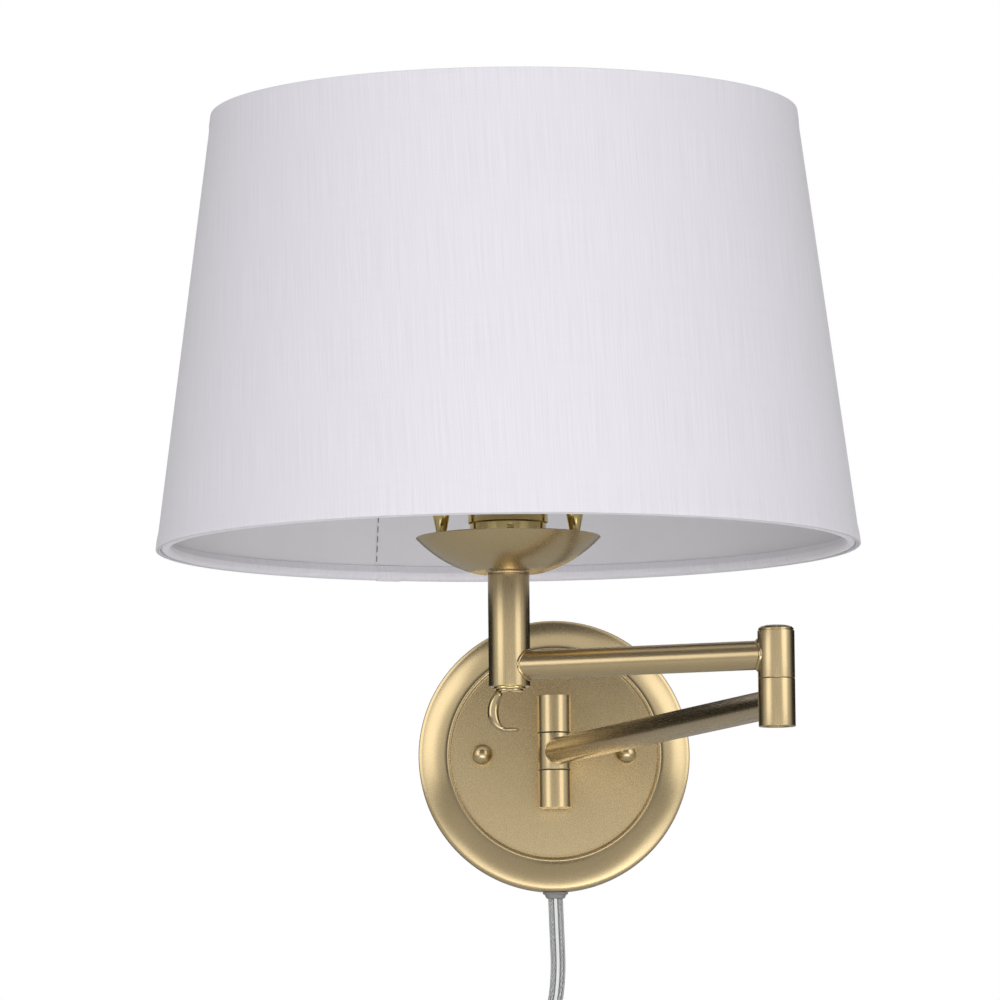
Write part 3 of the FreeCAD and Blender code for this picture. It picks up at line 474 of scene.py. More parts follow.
def cloth(name, colour, contrast):
    """Plain weave with slubs. The piece's own map is the flat cut, in metres."""
    pitch = bpy.context.scene.sconce_shade.thread

    def build(graph):
        uv = graph.flat()
        warp_thick = graph.noise(graph.mapped(uv, (1400, 26, 1)), 1.0)
        weft_thick = graph.noise(graph.mapped(uv, (22, 1300, 1), shift=(7, 3, 0)), 1.0)
        wander = (graph.noise(graph.mapped(uv, (160, 160, 1)), 1.0) - 0.5) * 0.7
        warp_phase = graph.part(uv, "X") * (TURN / pitch) + wander
        weft_phase = graph.part(uv, "Y") * (TURN / pitch) + wander
        warp = warp_phase.math("SINE") * 0.5 + 0.5
        weft = weft_phase.math("SINE") * 0.5 + 0.5
        over = (warp_phase * 0.5).math("SINE") * (weft_phase * 0.5).math("SINE")
        lifted = over * 0.5 + 0.5
        threads = warp * lifted + weft * (1 - lifted)
        height = threads * 0.35 + (warp_thick * 0.8 + weft_thick * 0.2) * 0.9
        # The colour follows the weave's height: it darkens in the hollows between threads as painted shade,
        # and the slubs add the yarn's own uneven tone.
        shade = ((height - 0.62) * contrast + 0.5).math("MINIMUM", 1.0).math("MAXIMUM", 0.0)
        return {
            "Base Color": graph.mix(shade, *shaded(colour, 0.86, 1.12)),
            "Roughness": 0.9,
            "Sheen Weight": 0.25,
            "Sheen Roughness": 0.4,
            "Specular IOR Level": 0.25,
            "Normal": graph.bump(height, 0.35, 0.12),
        }

    return material(name, build)


FINISHES = {}


def make_finishes():
    """Every finish, by the name it is asked for."""
    brass = bpy.context.scene.sconce_brass
    FINISHES.update({
        "upright": satin_brass("Satin brass, upright lines", Vector((0, 0, 1))),
        "lower": satin_brass("Satin brass, lower arm", LOWER_WAY),
        "upper": satin_brass("Satin brass, upper arm", UPPER_WAY),
        "even": satin_brass("Satin brass, even grain"),
        "polished": polished_brass("Polished brass", brass.polished, 0.07),
        "bright": polished_brass("Bright satin brass", brass.satin, 0.1),
        "zinc": plated("Zinc plate", (0.60, 0.60, 0.58), 0.3),
        "nickel": plated("Nickel plate", (0.72, 0.71, 0.68), 0.16),
        "washer": moulded("Dark washer", (0.035, 0.03, 0.025), 0.55),
        "sheath": moulded("Wire sheath", (0.68, 0.68, 0.66), 0.4),
        "connector": moulded("Connector", (0.72, 0.30, 0.04), 0.35),
        "switch": moulded("Switch case", (0.03, 0.03, 0.03), 0.45),
        "bushing": moulded("Bushing", (0.24, 0.23, 0.225), 0.4),
        # Dark grey stitching: real stitches, painted dark for the shadow gaps along the seam.
        "thread": moulded("Stitching darkened as painted shadow gaps", (0.2, 0.2, 0.2), 0.7),
        "tie": moulded("Cord tie", (0.02, 0.02, 0.02), 0.5),
        "white": moulded("White enamel", (0.78, 0.78, 0.78), 0.35),
        "card": card("Fibre card"),
        "clear": clear_plastic("Clear lead jacket", (0.80, 0.81, 0.81)),
        "plug": clear_plastic("Clear plug", (0.86, 0.87, 0.87)),
        "strands": stranded("Tinned strands"),
        "cloth": cloth("Linen", bpy.context.scene.sconce_shade.linen, 0.85),
        # The hem tape is the linen made 1.2 times lighter: partly a whiter tape, partly painted light for the
        # hem that faces the front at the shade's opening.
        "tape": cloth("Hem tape", shaded(bpy.context.scene.sconce_shade.linen, 1.2), 0.9),
        "lining": smooth_lining("Shade lining"),
        "glass": frosted("Frosted glass"),
    })


# ---------------------------------------------------------------- mesh tools
def linked(name, data):
    """A new object of some data, in the scene."""
    piece = bpy.data.objects.new(name, data)
    bpy.context.scene.collection.objects.link(piece)
    return piece


def added(name, mesh, finish):
    """A new object of a mesh, smooth except across sharp edges, in one finish."""
    mesh.shade_smooth()
    mesh.set_sharp_from_angle(angle=SHARP)
    mesh.materials.clear()
    mesh.materials.append(FINISHES[finish])
    return linked(name, mesh)


def closed(name, points, faces, uv=None):
    """A mesh with its faces turned outwards. uv gives one map place for each face corner."""
    mesh = bpy.data.meshes.new(name)
    mesh.from_pydata([tuple(p) for p in points], [], faces)
    if uv:
        layer = mesh.uv_layers.new(name="UVMap")
        for corner, place in enumerate(uv):
            layer.data[corner].uv = place
    work = bmesh.new()
    work.from_mesh(mesh)
    if work.calc_volume(signed=True) < 0:
        bmesh.ops.reverse_faces(work, faces=work.faces)
    work.to_mesh(mesh)
    work.free()
    return mesh


def rounded(outline):
    """A closed outline of radius and height. A third number on a corner is its rounding."""
    smooth = []
    for index, corner in enumerate(outline):
        here = Vector(corner[:2])
        size = corner[2] if len(corner) > 2 else 0
        if not size:
            smooth.append(here)
            continue
        back = Vector(outline[index - 1][:2]) - here
        ahead = Vector(outline[(index + 1) % len(outline)][:2]) - here
        half = back.angle(ahead) / 2
        reach = min(size / math.tan(half), 0.45 * back.length, 0.45 * ahead.length)
        size = reach * math.tan(half)
        centre = here + (back.normalized() + ahead.normalized()).normalized() * (size / math.sin(half))
        first = here + back.normalized() * reach - centre
        sweep = first.angle_signed(here + ahead.normalized() * reach - centre)
        count = max(3, round(abs(sweep) / math.radians(18)))
        smooth += [centre + Matrix.Rotation(-sweep * step / count, 2) @ first for step in range(count + 1)]
    return smooth


def arc(centre, radius, start, end, count):
    """Points on an arc in an outline, by angles in degrees."""
    turns = [math.radians(start + (end - start) * i / count) for i in range(count + 1)]
    return [(centre[0] + radius * math.cos(t), centre[1] + radius * math.sin(t)) for t in turns]


def wheel(axis, radius, turn, height):
    """A point round an upright axis, with its radius and height in millimetres."""
    return axis + Vector((radius * math.cos(turn), radius * math.sin(turn), height)) * MM


def lathed(name, outline, finish, place=Matrix(), steps=None):
    """A closed outline in millimetres, turned about an axis."""
    steps = steps or bpy.context.scene.sconce_brass.steps
    points, columns = [], []
    for radius, height in rounded(outline):
        count = 1 if radius < 0.001 else steps
        columns.append([len(points) + i % count for i in range(steps)])
        points += [place @ wheel(Vector(), radius, TURN * i / steps, height) for i in range(count)]
    faces = []
    for first, second in zip(columns, columns[1:] + columns[:1]):
        for i in range(steps):
            j = (i + 1) % steps
            face = list(dict.fromkeys((first[i], first[j], second[j], second[i])))
            if len(face) > 2:
                faces.append(face)
    return added(name, closed(name, points, faces), finish)


def on(axis):
    """The place of a piece that stands on an upright axis."""
    return Matrix.Translation((axis.x, axis.y, 0))


def lofted(name, rings, finish, uv=None):
    """Rings of points joined in order, with both ends filled."""
    count = len(rings[0])
    points = [p for ring in rings for p in ring]
    faces, places = [], []
    for k in range(len(rings) - 1):
        for i in range(count):
            j = (i + 1) % count
            faces.append((k * count + i, k * count + j, (k + 1) * count + j, (k + 1) * count + i))
            if uv:
                places += [uv(k, i), uv(k, i + 1), uv(k + 1, i + 1), uv(k + 1, i)]
    last = len(points) - count
    faces += [tuple(reversed(range(count))), tuple(range(last, last + count))]
    places += [(0, 0)] * (2 * count) if uv else []
    return added(name, closed(name, points, faces, places), finish)


def squircle(half_x, half_y, power, count):
    """A rounded rectangle as a list of points."""
    made = []
    for i in range(count):
        c, s = math.cos(TURN * i / count), math.sin(TURN * i / count)
        made.append((half_x * math.copysign(abs(c) ** (2 / power), c),
                     half_y * math.copysign(abs(s) ** (2 / power), s)))
    return made


def plain(piece):
    """Turn a piece with modifiers into a plain mesh."""
    depsgraph = bpy.context.evaluated_depsgraph_get()
    mesh = bpy.data.meshes.new_from_object(piece.evaluated_get(depsgraph))
    piece.modifiers.clear()
    piece.data = mesh
    return piece


def smoothed(piece, levels):
    """A piece after rounds of subdivision."""
    smooth = piece.modifiers.new("Smooth", "SUBSURF")
    smooth.levels = smooth.render_levels = levels
    return plain(piece)


def goes_with(piece, node):
    """The piece rides on a node's body."""
    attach(piece, body_of(frame["nodes"][node])[0])
    return piece


def stands_for(piece, *nodes):
    """The piece replaces these nodes and rides on the first one's body."""
    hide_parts(*nodes)
    return goes_with(piece, nodes[0])


def turned(node, name, outline, finish, axis=POST, steps=None):
    """A lathed piece on an upright axis, in the place of a node."""
    return stands_for(lathed(name, outline, finish, on(axis), steps), node)


def eased(node, width, finish):
    """A copy of a node's mesh with its edges eased by a width in millimetres. It stands for the node."""
    mesh = frame["nodes"][node].data.copy()
    work = bmesh.new()
    work.from_mesh(mesh)
    bmesh.ops.remove_doubles(work, verts=work.verts, dist=0.002 * MM)
    bmesh.ops.dissolve_limit(work, angle_limit=math.radians(0.6), verts=work.verts, edges=work.edges)
    work.to_mesh(mesh)
    work.free()
    if "custom_normal" in mesh.attributes:
        mesh.attributes.remove(mesh.attributes["custom_normal"])
    piece = added(node + "_eased", mesh, finish)
    bevel = piece.modifiers.new("Eased", "BEVEL")
    bevel.width = width * MM
    bevel.segments = 2
    bevel.limit_method = "ANGLE"
    bevel.angle_limit = math.radians(40)
    bevel.use_clamp_overlap = True
    return stands_for(plain(piece), node)


def repaint(finish, *nodes):
    """Give nodes that keep their own mesh a finish."""
    for node in nodes:
        mesh = frame["nodes"][node].data
        mesh.materials.clear()
        mesh.materials.append(FINISHES[finish])


def joined(name, *pieces):
    """Several objects as one, with their materials kept."""
    mesh = bpy.data.meshes.new(name)
    work = bmesh.new()
    finishes = []
    for piece in pieces:
        surface = piece.data.materials[0]
        if surface not in finishes:
            finishes.append(surface)
        start = len(work.faces)
        work.from_mesh(piece.data)
        work.faces.ensure_lookup_table()
        for face in work.faces[start:]:
            face.material_index = finishes.index(surface)
        bpy.data.objects.remove(piece)
    work.to_mesh(mesh)
    work.free()
    for surface in finishes:
        mesh.materials.append(surface)
    mesh.set_sharp_from_angle(angle=SHARP)
    return linked(name, mesh)


# ---------------------------------------------------------------- geometry nodes
def node_group(name, inputs):
    """An empty geometry tree with named inputs: name and socket type."""
    tree = bpy.data.node_groups.new(name, "GeometryNodeTree")
    tree.interface.new_socket("Geometry", in_out="INPUT", socket_type="NodeSocketGeometry")
    for label, kind in inputs.items():
        tree.interface.new_socket(label, in_out="INPUT", socket_type="NodeSocket" + kind)
    tree.interface.new_socket("Geometry", in_out="OUTPUT", socket_type="NodeSocketGeometry")
    graph = Graph(tree)
    source = tree.nodes.new("NodeGroupInput")
    return graph, {s.name: Wire(graph, s) for s in source.outputs if s.name}


def finished(graph, geometry, surface):
    """The end of every tree: real geometry in its material."""
    real = graph.add("GeometryNodeRealizeInstances", None, {"Geometry": geometry})
    soft = graph.add("GeometryNodeSetShadeSmooth", None, {"Geometry": real})
    painted = graph.add("GeometryNodeSetMaterial", None, {"Geometry": soft, "Material": surface})
    graph.add("NodeGroupOutput", None, {0: painted})
    return graph


def run_tree(piece, graph, values):
    """Run a tree on a piece with its inputs set, and keep the result as a plain mesh."""
    modifier = piece.modifiers.new(graph.tree.name, "NODES")
    modifier.node_group = graph.tree
    for item in graph.tree.interface.items_tree:
        if item.item_type == "SOCKET" and item.in_out == "INPUT" and item.name in values:
            modifier[item.identifier] = values[item.name]
    return plain(piece)


def line_mesh(name, points, cyclic=False):
    """A chain of edges through points."""
    mesh = bpy.data.meshes.new(name)
    edges = [(i, (i + 1) % len(points)) for i in range(len(points) - (0 if cyclic else 1))]
    mesh.from_pydata([tuple(p) for p in points], edges, [])
    return linked(name, mesh)


@functools.cache
def wire_tree():
    """A round wire along every edge chain."""
    graph, source = node_group("Wire along a path",
                               {"Radius": "Float", "Sides": "Int", "Surface": "Material"})
    path = graph.add("GeometryNodeMeshToCurve", None, {"Mesh": source["Geometry"]})
    section = graph.add("GeometryNodeCurvePrimitiveCircle", None,
                        {"Radius": source["Radius"], "Resolution": source["Sides"]})
    skin = graph.add("GeometryNodeCurveToMesh", None,
                     {"Curve": path, "Profile Curve": section, "Fill Caps": True})
    return finished(graph, skin, source["Surface"])


@functools.cache
def copies_tree():
    """One small object at every point, turned as the point says."""
    graph, source = node_group("Copies on points", {"Part": "Object", "Surface": "Material"})
    part = graph.add("GeometryNodeObjectInfo", None, {"Object": source["Part"]}, "Geometry")
    turn = graph.add("GeometryNodeInputNamedAttribute", {"data_type": "FLOAT_VECTOR"}, {"Name": "turn"})
    cloud = graph.add("GeometryNodeMeshToPoints", None, {"Mesh": source["Geometry"]})
    spread = graph.add("GeometryNodeInstanceOnPoints", None,
                       {"Points": cloud, "Instance": part, "Rotation": turn})
    return finished(graph, spread, source["Surface"])


def ring_of_wire(name, points, radius, finish, sides=12):
    """A round wire or bead that follows points and closes on itself."""
    piece = line_mesh(name, points, True)
    return run_tree(piece, wire_tree(), {"Radius": radius, "Sides": sides, "Surface": FINISHES[finish]})


def copies_of(name, part, places, finish):
    """Copies of a small object at places, each a point and an Euler turn. The small object is used up."""
    piece = line_mesh(name, [point for point, _ in places])
    turns = piece.data.attributes.new("turn", "FLOAT_VECTOR", "POINT")
    for item, (_, turn) in zip(turns.data, places):
        item.vector = turn
    run_tree(piece, copies_tree(), {"Part": part, "Surface": FINISHES[finish]})
    bpy.data.objects.remove(part)
    return piece


# ---------------------------------------------------------------- wall plate and pivot
def make_plate():
    """Spun plate: side wall, land, cove, bead and a nearly flat disc."""
    rim, front = -low("wall_plate").z, -low("wall_plate").y
    wall, land, bead = 1.0, 13.0, 49.5
    foot = bead + 1.3
    reach = rim - 0.5 - foot
    cove = [(foot + reach * t, front - 1.5 - reach * (0.78 * t - 0.29 * t * t)) for t in
            (1, 0.9, 0.8, 0.7, 0.6, 0.5, 0.4, 0.3, 0.2, 0.1, 0)]
    outline = [
        (rim - wall, 0), (rim, 0, 0.3), (rim, cove[0][1] - 0.4, 0.4), *cove,
        (bead + 0.85, front - 0.75, 0.3), (bead + 0.25, front - 0.1, 0.6), (bead - 0.7, front - 0.25, 0.6),
        (bead - 1.4, front - 0.75, 0.6), (bead - 3.2, front - 0.68), (bead * 0.6, front - 0.3),
        (bead * 0.3, front - 0.06), (0, front), (0, front - wall), (bead - 0.9, front - 0.75 - wall),
        (bead + 0.8, front - 1.9 - wall), (rim - 4, land + 0.15 - wall), (rim - 1.4 * wall, land - wall),
    ]
    stands_for(lathed("plate_shell", outline, "even", OUTWARD, 160), "wall_plate")


def make_ball_nuts():
    """Two ball nuts that hold the plate on its studs."""
    base = -high("ball_nuts").y
    ball = (high("ball_nuts").z - low("ball_nuts").z) / 2
    half = radius_of("ball_nuts") - ball
    centre = -low("ball_nuts").y - base - ball
    foot = math.degrees(math.asin(min(1, centre / ball)))
    outline = [(0, 0), (ball * 0.80, 0, 0.15), *arc((0, centre), ball, -foot * 0.7, 90, 14)]
    nut = lathed("one_nut", outline, "even", steps=48)
    places = [(Vector((side * half, -base, 0)) * MM, (math.radians(90), 0, 0)) for side in (-1, 1)]
    stands_for(copies_of("ball_nut_pair", nut, places, "even"), "ball_nuts")


def barrel(name, node, inner, edge):
    """An upright satin barrel with eased ends in the place of a node."""
    radius, bottom, top = radius_of(node), low(node).z, high(node).z
    outline = [(inner, bottom), (radius, bottom, edge), (radius, top, edge), (inner, top)]
    turned(node, name, outline, "upright", (low(node) + high(node)) / 2 * MM)


def make_pivot():
    """The yoke, the knuckle between its ends and the small pieces on them."""
    eased("pivot_yoke", 0.12, "upright")
    barrel("pivot_knuckle_barrel", "pivot_knuckle", 4.05, 0.3)
    repaint("upright", "pivot_end_plugs")
    repaint("even", "stem_collar")
    repaint("washer", "pivot_washers")


def make_wall_fixings():
    """Crossbar, studs, nuts and leads behind the plate."""
    eased("mounting_crossbar", 0.3, "zinc")
    repaint("zinc", "plate_studs", "stud_nuts", "pivot_pins", "stem_nut", "stem_washer")
    repaint("sheath", "plate_leads")
    repaint("connector", "wire_connectors")


# ---------------------------------------------------------------- arms and post
def bead_path(start, way, tube, barrel_radius, count=64):
    """Where an arm's tube meets an upright barrel, both radii in millimetres."""
    side = Vector((0, 0, 1)).cross(way)
    path = []
    for i in range(count):
        across, up = tube * math.cos(TURN * i / count), tube * math.sin(TURN * i / count)
        reach = math.sqrt(barrel_radius ** 2 - across ** 2)
        path.append(start + (way * reach + side * across + Vector((0, 0, up))) * MM)
    return path


def make_arms():
    """Both arms, the elbow and the post, with a braze bead at each joint of a tube."""
    bead = bpy.context.scene.sconce_brass.bead
    repaint("lower", "lower_arm_tube")
    repaint("upper", "upper_arm_tube")
    barrel("elbow_lower_sleeve", "elbow_lower_barrel", 4.95, 0.2)
    barrel("elbow_upper_sleeve", "elbow_upper_barrel", 5.0, 0.2)
    barrel("post_sleeve", "post_tube", 7.8, 0.3)
    cap, under, wide = high("elbow_cap").z, high("elbow_upper_barrel").z, radius_of("elbow_cap")
    outline = [
        (0, under - 3), (4.2, under - 3), (4.2, under), (wide - 0.6, under), (wide - 0.6, under + 0.35),
        (wide, under + 0.4, 0.1), (wide, under + 0.9, 0.5), (wide - 0.9, cap - 0.7, 1.2),
        (wide * 0.6, cap - 0.15, 2), (0, cap),
    ]
    turned("elbow_cap", "elbow_dome_cap", outline, "bright", ELBOW)
    repaint("upright", "elbow_base_plug")
    repaint("washer", "elbow_washer")
    repaint("zinc", "elbow_spindle", "post_inserts")
    repaint("sheath", "lower_arm_lead", "upper_leads")
    foot, crown = low("upper_arm_tube").z, high("upper_arm_tube").z
    rise = Vector((0, 0, (crown + foot) / 2)) * MM
    for name, start, way, node, arm, size in (
            ("pivot_bead", PIVOT, LOWER_WAY, "pivot_knuckle", "lower_arm_tube", 0.5),
            ("elbow_lower_bead", ELBOW, -LOWER_WAY, "elbow_lower_barrel", "lower_arm_tube", 1.2),
            ("elbow_upper_bead", ELBOW + rise, UPPER_WAY, "elbow_upper_barrel", "upper_arm_tube", 1.8),
            ("post_bead", POST + rise, -UPPER_WAY, "post_tube", "upper_arm_tube", 1.3)):
        path = bead_path(start, way, (crown - foot) / 2, radius_of(node))
        goes_with(ring_of_wire(name, path, bead * size, "bright"), arm)


def make_collar():
    """Polished collar in the foot of the post."""
    wide, bottom, top = radius_of("post_collar"), low("post_collar").z, high("post_collar").z
    outline = [(1.8, bottom), (wide, bottom, 0.5), (wide, top), (1.8, top)]
    turned("post_collar", "post_foot_collar", outline, "polished")


def make_key():
    """Cast crescent key with a flat oval foot, on a thin hub."""
    top = high("switch_key").z
    spine = [  # across, height, width and half the depth
        (-4.3, top - 0.4, 3.7, 2.5), (-5.7, 6.9, 4.1, 2.5), (-6.8, 4.4, 4.5, 2.5), (-7.3, 1.9, 4.8, 2.5),
        (-7.35, -0.6, 4.8, 2.5), (-6.8, -2.9, 4.4, 2.45), (-5.7, -4.9, 3.7, 2.35), (-4.2, -6.2, 2.8, 2.2),
        (-2.3, -7.0, 2.0, 2.0),
    ]
    points = [Vector((x, z)) for x, z, *_ in spine]
    rings = []
    for k, (x, z, wide, deep) in enumerate(spine):
        way = (points[min(k + 1, len(points) - 1)] - points[max(k - 1, 0)]).normalized()
        rings.append([POST + Vector((x - way.y * u, v, z + way.x * u)) * MM
                      for u, v in squircle(wide / 2, deep, 2.3, 24)])
    blade = smoothed(lofted("key_blade", rings, "bright"), 2)
    outline = [(0, top - 0.8), (6.0, top - 0.8, 0.3), (6.0, top), (0, top)]
    hub = lathed("key_hub", outline, "bright", on(POST), 64)
    rings = []
    for k in range(1, 16):
        c, s = math.cos(math.pi * k / 16), math.sin(math.pi * k / 16)
        rings.append([POST + Vector((-0.3 - 4.1 * c, 2.5 * s * u, -7.2 + 1.05 * v)) * MM
                      for u, v in squircle(1, s ** 0.5, 2.2, 24)])
    foot = lofted("key_foot", rings, "bright")
    stands_for(joined("turn_key", blade, hub, foot), "switch_key")
    repaint("polished", "switch_rod")


# ---------------------------------------------------------------- cup, harp, socket and bulb
def make_cup():
    """Shallow spun bowl with a rolled rim and a flared neck."""
    top, wide, bottom, neck = high("cup").z, radius_of("cup"), low("cup").z, radius_of("post_tube")
    bowl, wall = 55.0, 1.0
    centre = (0, top - 0.4 + math.sqrt(bowl ** 2 - wide ** 2))
    start, end = math.degrees(math.asin(15.5 / bowl)) - 90, math.degrees(math.asin(wide / bowl)) - 90
    inner = arc(centre, bowl - wall, end - 0.6, start, 14)
    seat = inner[-1][1] + 0.2
    outline = [
        (5, bottom), (neck - 0.1, bottom, 0.3), (neck - 0.1, bottom + 0.8, 1.2),
        (neck + 1.4, bottom + 1.5, 2), *arc(centre, bowl, start, end, 14), (wide - 0.2, top - 0.05),
        (wide - 0.75, top), *inner, (11, seat), (5, seat),
    ]
    turned("cup", "cup_bowl", outline, "even", steps=128)


def make_lamp():
    """Nipple, saddle, harp, socket and bulb."""
    eased("harp_saddle", 0.35, "polished")
    eased("cup_nut", 0.3, "polished")
    repaint("zinc", "lamp_nipple")
    repaint("polished", "harp_wire", "harp_stud", "centre_contact", "socket_screw", "shade_spider")
    make_ferrules()
    make_socket()
    make_bulb()
    make_finial()


def make_ferrules():
    """Sliding sleeves that lock the harp's feet."""
    bottom, tall = low("harp_ferrules").z, high("harp_ferrules").z - low("harp_ferrules").z
    wide = (high("harp_ferrules").y - low("harp_ferrules").y) / 2
    half = radius_of("harp_ferrules") - wide
    outline = [
        (1.65, 0), (wide, 0, 0.5), (wide, 2.4, 0.4), (wide - 0.6, 3, 0.3), (wide - 0.6, tall - 3.4, 0.3),
        (wide - 0.2, tall - 2.6, 0.4), (wide - 0.9, tall, 0.8), (1.65, tall),
    ]
    sleeve = lathed("one_ferrule", outline, "polished", steps=48)
    places = [(POST + Vector((side * half, 0, bottom)) * MM, (0, 0, 0)) for side in (-1, 1)]
    stands_for(copies_of("ferrule_pair", sleeve, places, "polished"), "harp_ferrules")


def make_socket():
    """Cap and shell of the lamp holder, with their rolled step and mouth."""
    base, lip_top = low("socket_cap").z, high("socket_cap").z
    lip, wide, step = radius_of("socket_cap"), 16.6, lip_top - 4.6
    outline = [
        (5, base), (8.5, base, 0.4), (8.5, base + 2.2, 0.6), (11.5, base + 2.7, 1), (wide, base + 7.7, 4),
        (wide, step - 0.5, 0.4), (lip, step, 0.3), (lip, lip_top, 0.5), (lip - 0.7, lip_top),
        (lip - 0.7, step + 0.4), (wide - 0.8, step - 0.4), (wide - 0.8, base + 8.2), (10.5, base + 3.6),
        (5, base + 3.6),
    ]
    turned("socket_cap", "socket_cap_shell", outline, "polished")
    bottom, mouth, inner = low("socket_shell").z, high("socket_shell").z, wide - 0.7
    waves = []
    for height in [bottom + 9 + 3 * k for k in range(5)]:
        waves += [(wide, height, 0.5), (wide + 0.45, height + 0.8, 0.5), (wide, height + 1.6, 0.5)]
    outline = [
        (inner, bottom), (wide, bottom, 0.2), *waves, (wide, mouth - 1.6, 0.4),
        (wide + 0.6, mouth - 0.8, 0.4), (wide + 0.2, mouth, 0.3), (inner, mouth),
    ]
    turned("socket_shell", "socket_outer_shell", outline, "polished")
    repaint("card", "socket_insulator")
    repaint("switch", "rotary_switch")
    repaint("nickel", "screw_shell")


def make_bulb():
    """Lamp glass and its threaded base."""
    bottom, top, wide, pitch = low("bulb_base").z, high("bulb_base").z, radius_of("bulb_base"), 3.2
    threads = []
    for height in [bottom + 5.6 + pitch * k for k in range(4)]:
        threads += [(wide - 0.75, height, 0.5), (wide, height + pitch / 2, 0.6)]
    outline = [
        (0, bottom), (4.5, bottom, 0.5), (4.6, bottom + 1.1), (9.5, bottom + 3.6, 0.5),
        (wide - 0.6, bottom + 4.8, 0.5), *threads, (wide - 0.5, top - 1, 0.4), (wide - 0.5, top), (0, top),
    ]
    turned("bulb_base", "bulb_screw_base", outline, "nickel", steps=72)
    wide, foot, wall = radius_of("bulb_glass"), low("bulb_glass").z, 0.8
    outer = [(12.6, foot), (13, foot + 5), (14.4, foot + 11), (17.6, foot + 19), (22.2, foot + 28),
             *arc((0, high("bulb_glass").z - wide), wide, -28, 90, 16)]
    inner = [(max(0.0, r - wall), h - (wall if r < 0.001 else 0)) for r, h in reversed(outer)]
    turned("bulb_glass", "bulb_globe", [*outer, *inner], "glass", steps=72)


def make_finial():
    """Turned finial that holds the spider down."""
    foot, top, wide = low("finial").z, high("finial").z, radius_of("finial")
    tall = top - foot
    turns = [math.radians(a) for a in range(40, 161, 20)]
    outline = [
        (3.1, foot), (wide, foot, 0.4), (wide, foot + 1.6, 0.5), (wide * 0.55, foot + 3, 0.8),
        (wide * 0.5, foot + 4.2, 0.6),
        *[(wide * 0.72 * math.sin(t), foot + tall * (0.62 - 0.37 * math.cos(t))) for t in turns],
        (0, top), (0, top - 7), (3.1, top - 7.5),
    ]
    turned("finial", "shade_finial", outline, "polished", steps=64)


# ---------------------------------------------------------------- shade
def shade_skin(name, outline, finish, steps=240):
    """A closed outline turned about the post, mapped as the flat cut that was rolled into a cone.

    The cut's middle faces the front, and its ends meet at the seam.
    """
    start = math.pi / 2 + bpy.context.scene.sconce_shade.seam
    ring = rounded(outline)
    count = len(ring)
    points = [wheel(POST, radius, TURN * i / steps + start, height)
              for i in range(steps) for radius, height in ring]
    faces, uv = [], []

    def flat(i, k):
        reach = SHADE_WIDE / SHADE_LEAN - (ring[k][1] - SHADE_FOOT) * SHADE_SLANT / (SHADE_TOP - SHADE_FOOT)
        swing = (TURN * i / steps - math.pi) * SHADE_LEAN
        return (reach * math.sin(swing) * MM, reach * math.cos(swing) * MM)

    for i in range(steps):
        for k in range(count):
            j, n = (i + 1) % steps, (k + 1) % count
            faces.append((i * count + k, j * count + k, j * count + n, i * count + n))
            uv += [flat(i, k), flat(i + 1, k), flat(i + 1, n), flat(i, n)]
    return added(name, closed(name, points, faces, uv), finish)


def make_shade():
    """Cover, lining, hems and the seam of the lining."""
    make_cover()
    make_lining()
    make_hems()
    make_seams()
    repaint("white", "shade_rings")
    repaint("polished", "shade_spider")


def cone_at(height, inset=0.0):
    """Radius of the shade's outer face at a height, moved in by an inset."""
    share = (height - SHADE_FOOT) / (SHADE_TOP - SHADE_FOOT)
    return SHADE_WIDE + (SHADE_NARROW - SHADE_WIDE) * share - inset


def make_cover():
    """Cloth skin, which stands a little proud over the turned hems."""
    shade = bpy.context.scene.sconce_shade
    hem, proud, skin, end = shade.hem / MM, shade.proud / MM, 0.75, 1.35
    stations = [(0, proud), (0.35, proud), (0.7, proud), (1.0, proud * 0.4), (end, 0)]
    plain_part = SHADE_TOP - SHADE_FOOT - 2 * end * hem
    places = [(SHADE_FOOT + hem * share, rise) for share, rise in stations]
    places += [(SHADE_FOOT + hem * end + plain_part * k / 14, 0) for k in range(1, 14)]
    places += [(SHADE_TOP - hem * share, rise) for share, rise in reversed(stations)]
    outer = [(cone_at(height, -rise), height) for height, rise in places]
    outer[0], outer[-1] = (*outer[0], 0.6), (*outer[-1], 0.6)
    inner = [(cone_at(h, skin), h) for h in (SHADE_TOP, (SHADE_TOP + SHADE_FOOT) / 2, SHADE_FOOT)]
    cover = stands_for(shade_skin("shade_cloth", [*outer, *inner], "cloth"), "shade_cover")


def make_lining():
    """Stiff lining film bonded inside the cloth."""
    lift, thick = 0.9, 0.7
    heights = [SHADE_FOOT + (SHADE_TOP - SHADE_FOOT) * k / 10 for k in range(11)]
    outline = [(cone_at(h, lift), h) for h in heights]
    outline += [(cone_at(h, lift + thick), h) for h in reversed(heights)]
    stands_for(shade_skin("shade_film", outline, "lining"), "shade_lining")


def hem_outline(edge, way, grown=0.0):
    """The turned hem's outer and inner lines: round the ring wire and back to the lining.

    edge is the rim's height, and way is +1 at the lower rim and -1 at the upper.
    """
    hem, wire, gap, cloth_thick = bpy.context.scene.sconce_shade.hem / MM, 1.6, 0.12, 0.45
    ring = edge + way * (wire + cloth_thick)
    centre = cone_at(ring, 3.85)

    def side(radius, back):
        made = arc((centre, ring), radius, 0, -180 * way, 6)
        made.append((centre - radius + 0.15, ring + way * 1.3))
        for rise, out in ((hem - 0.9, 1.0), (hem, 0.0)):
            made.append((cone_at(edge + way * rise, back + grown + out), edge + way * rise))
        return made

    return side(wire + gap + cloth_thick + grown, 2.15), side(wire + gap, 1.7)


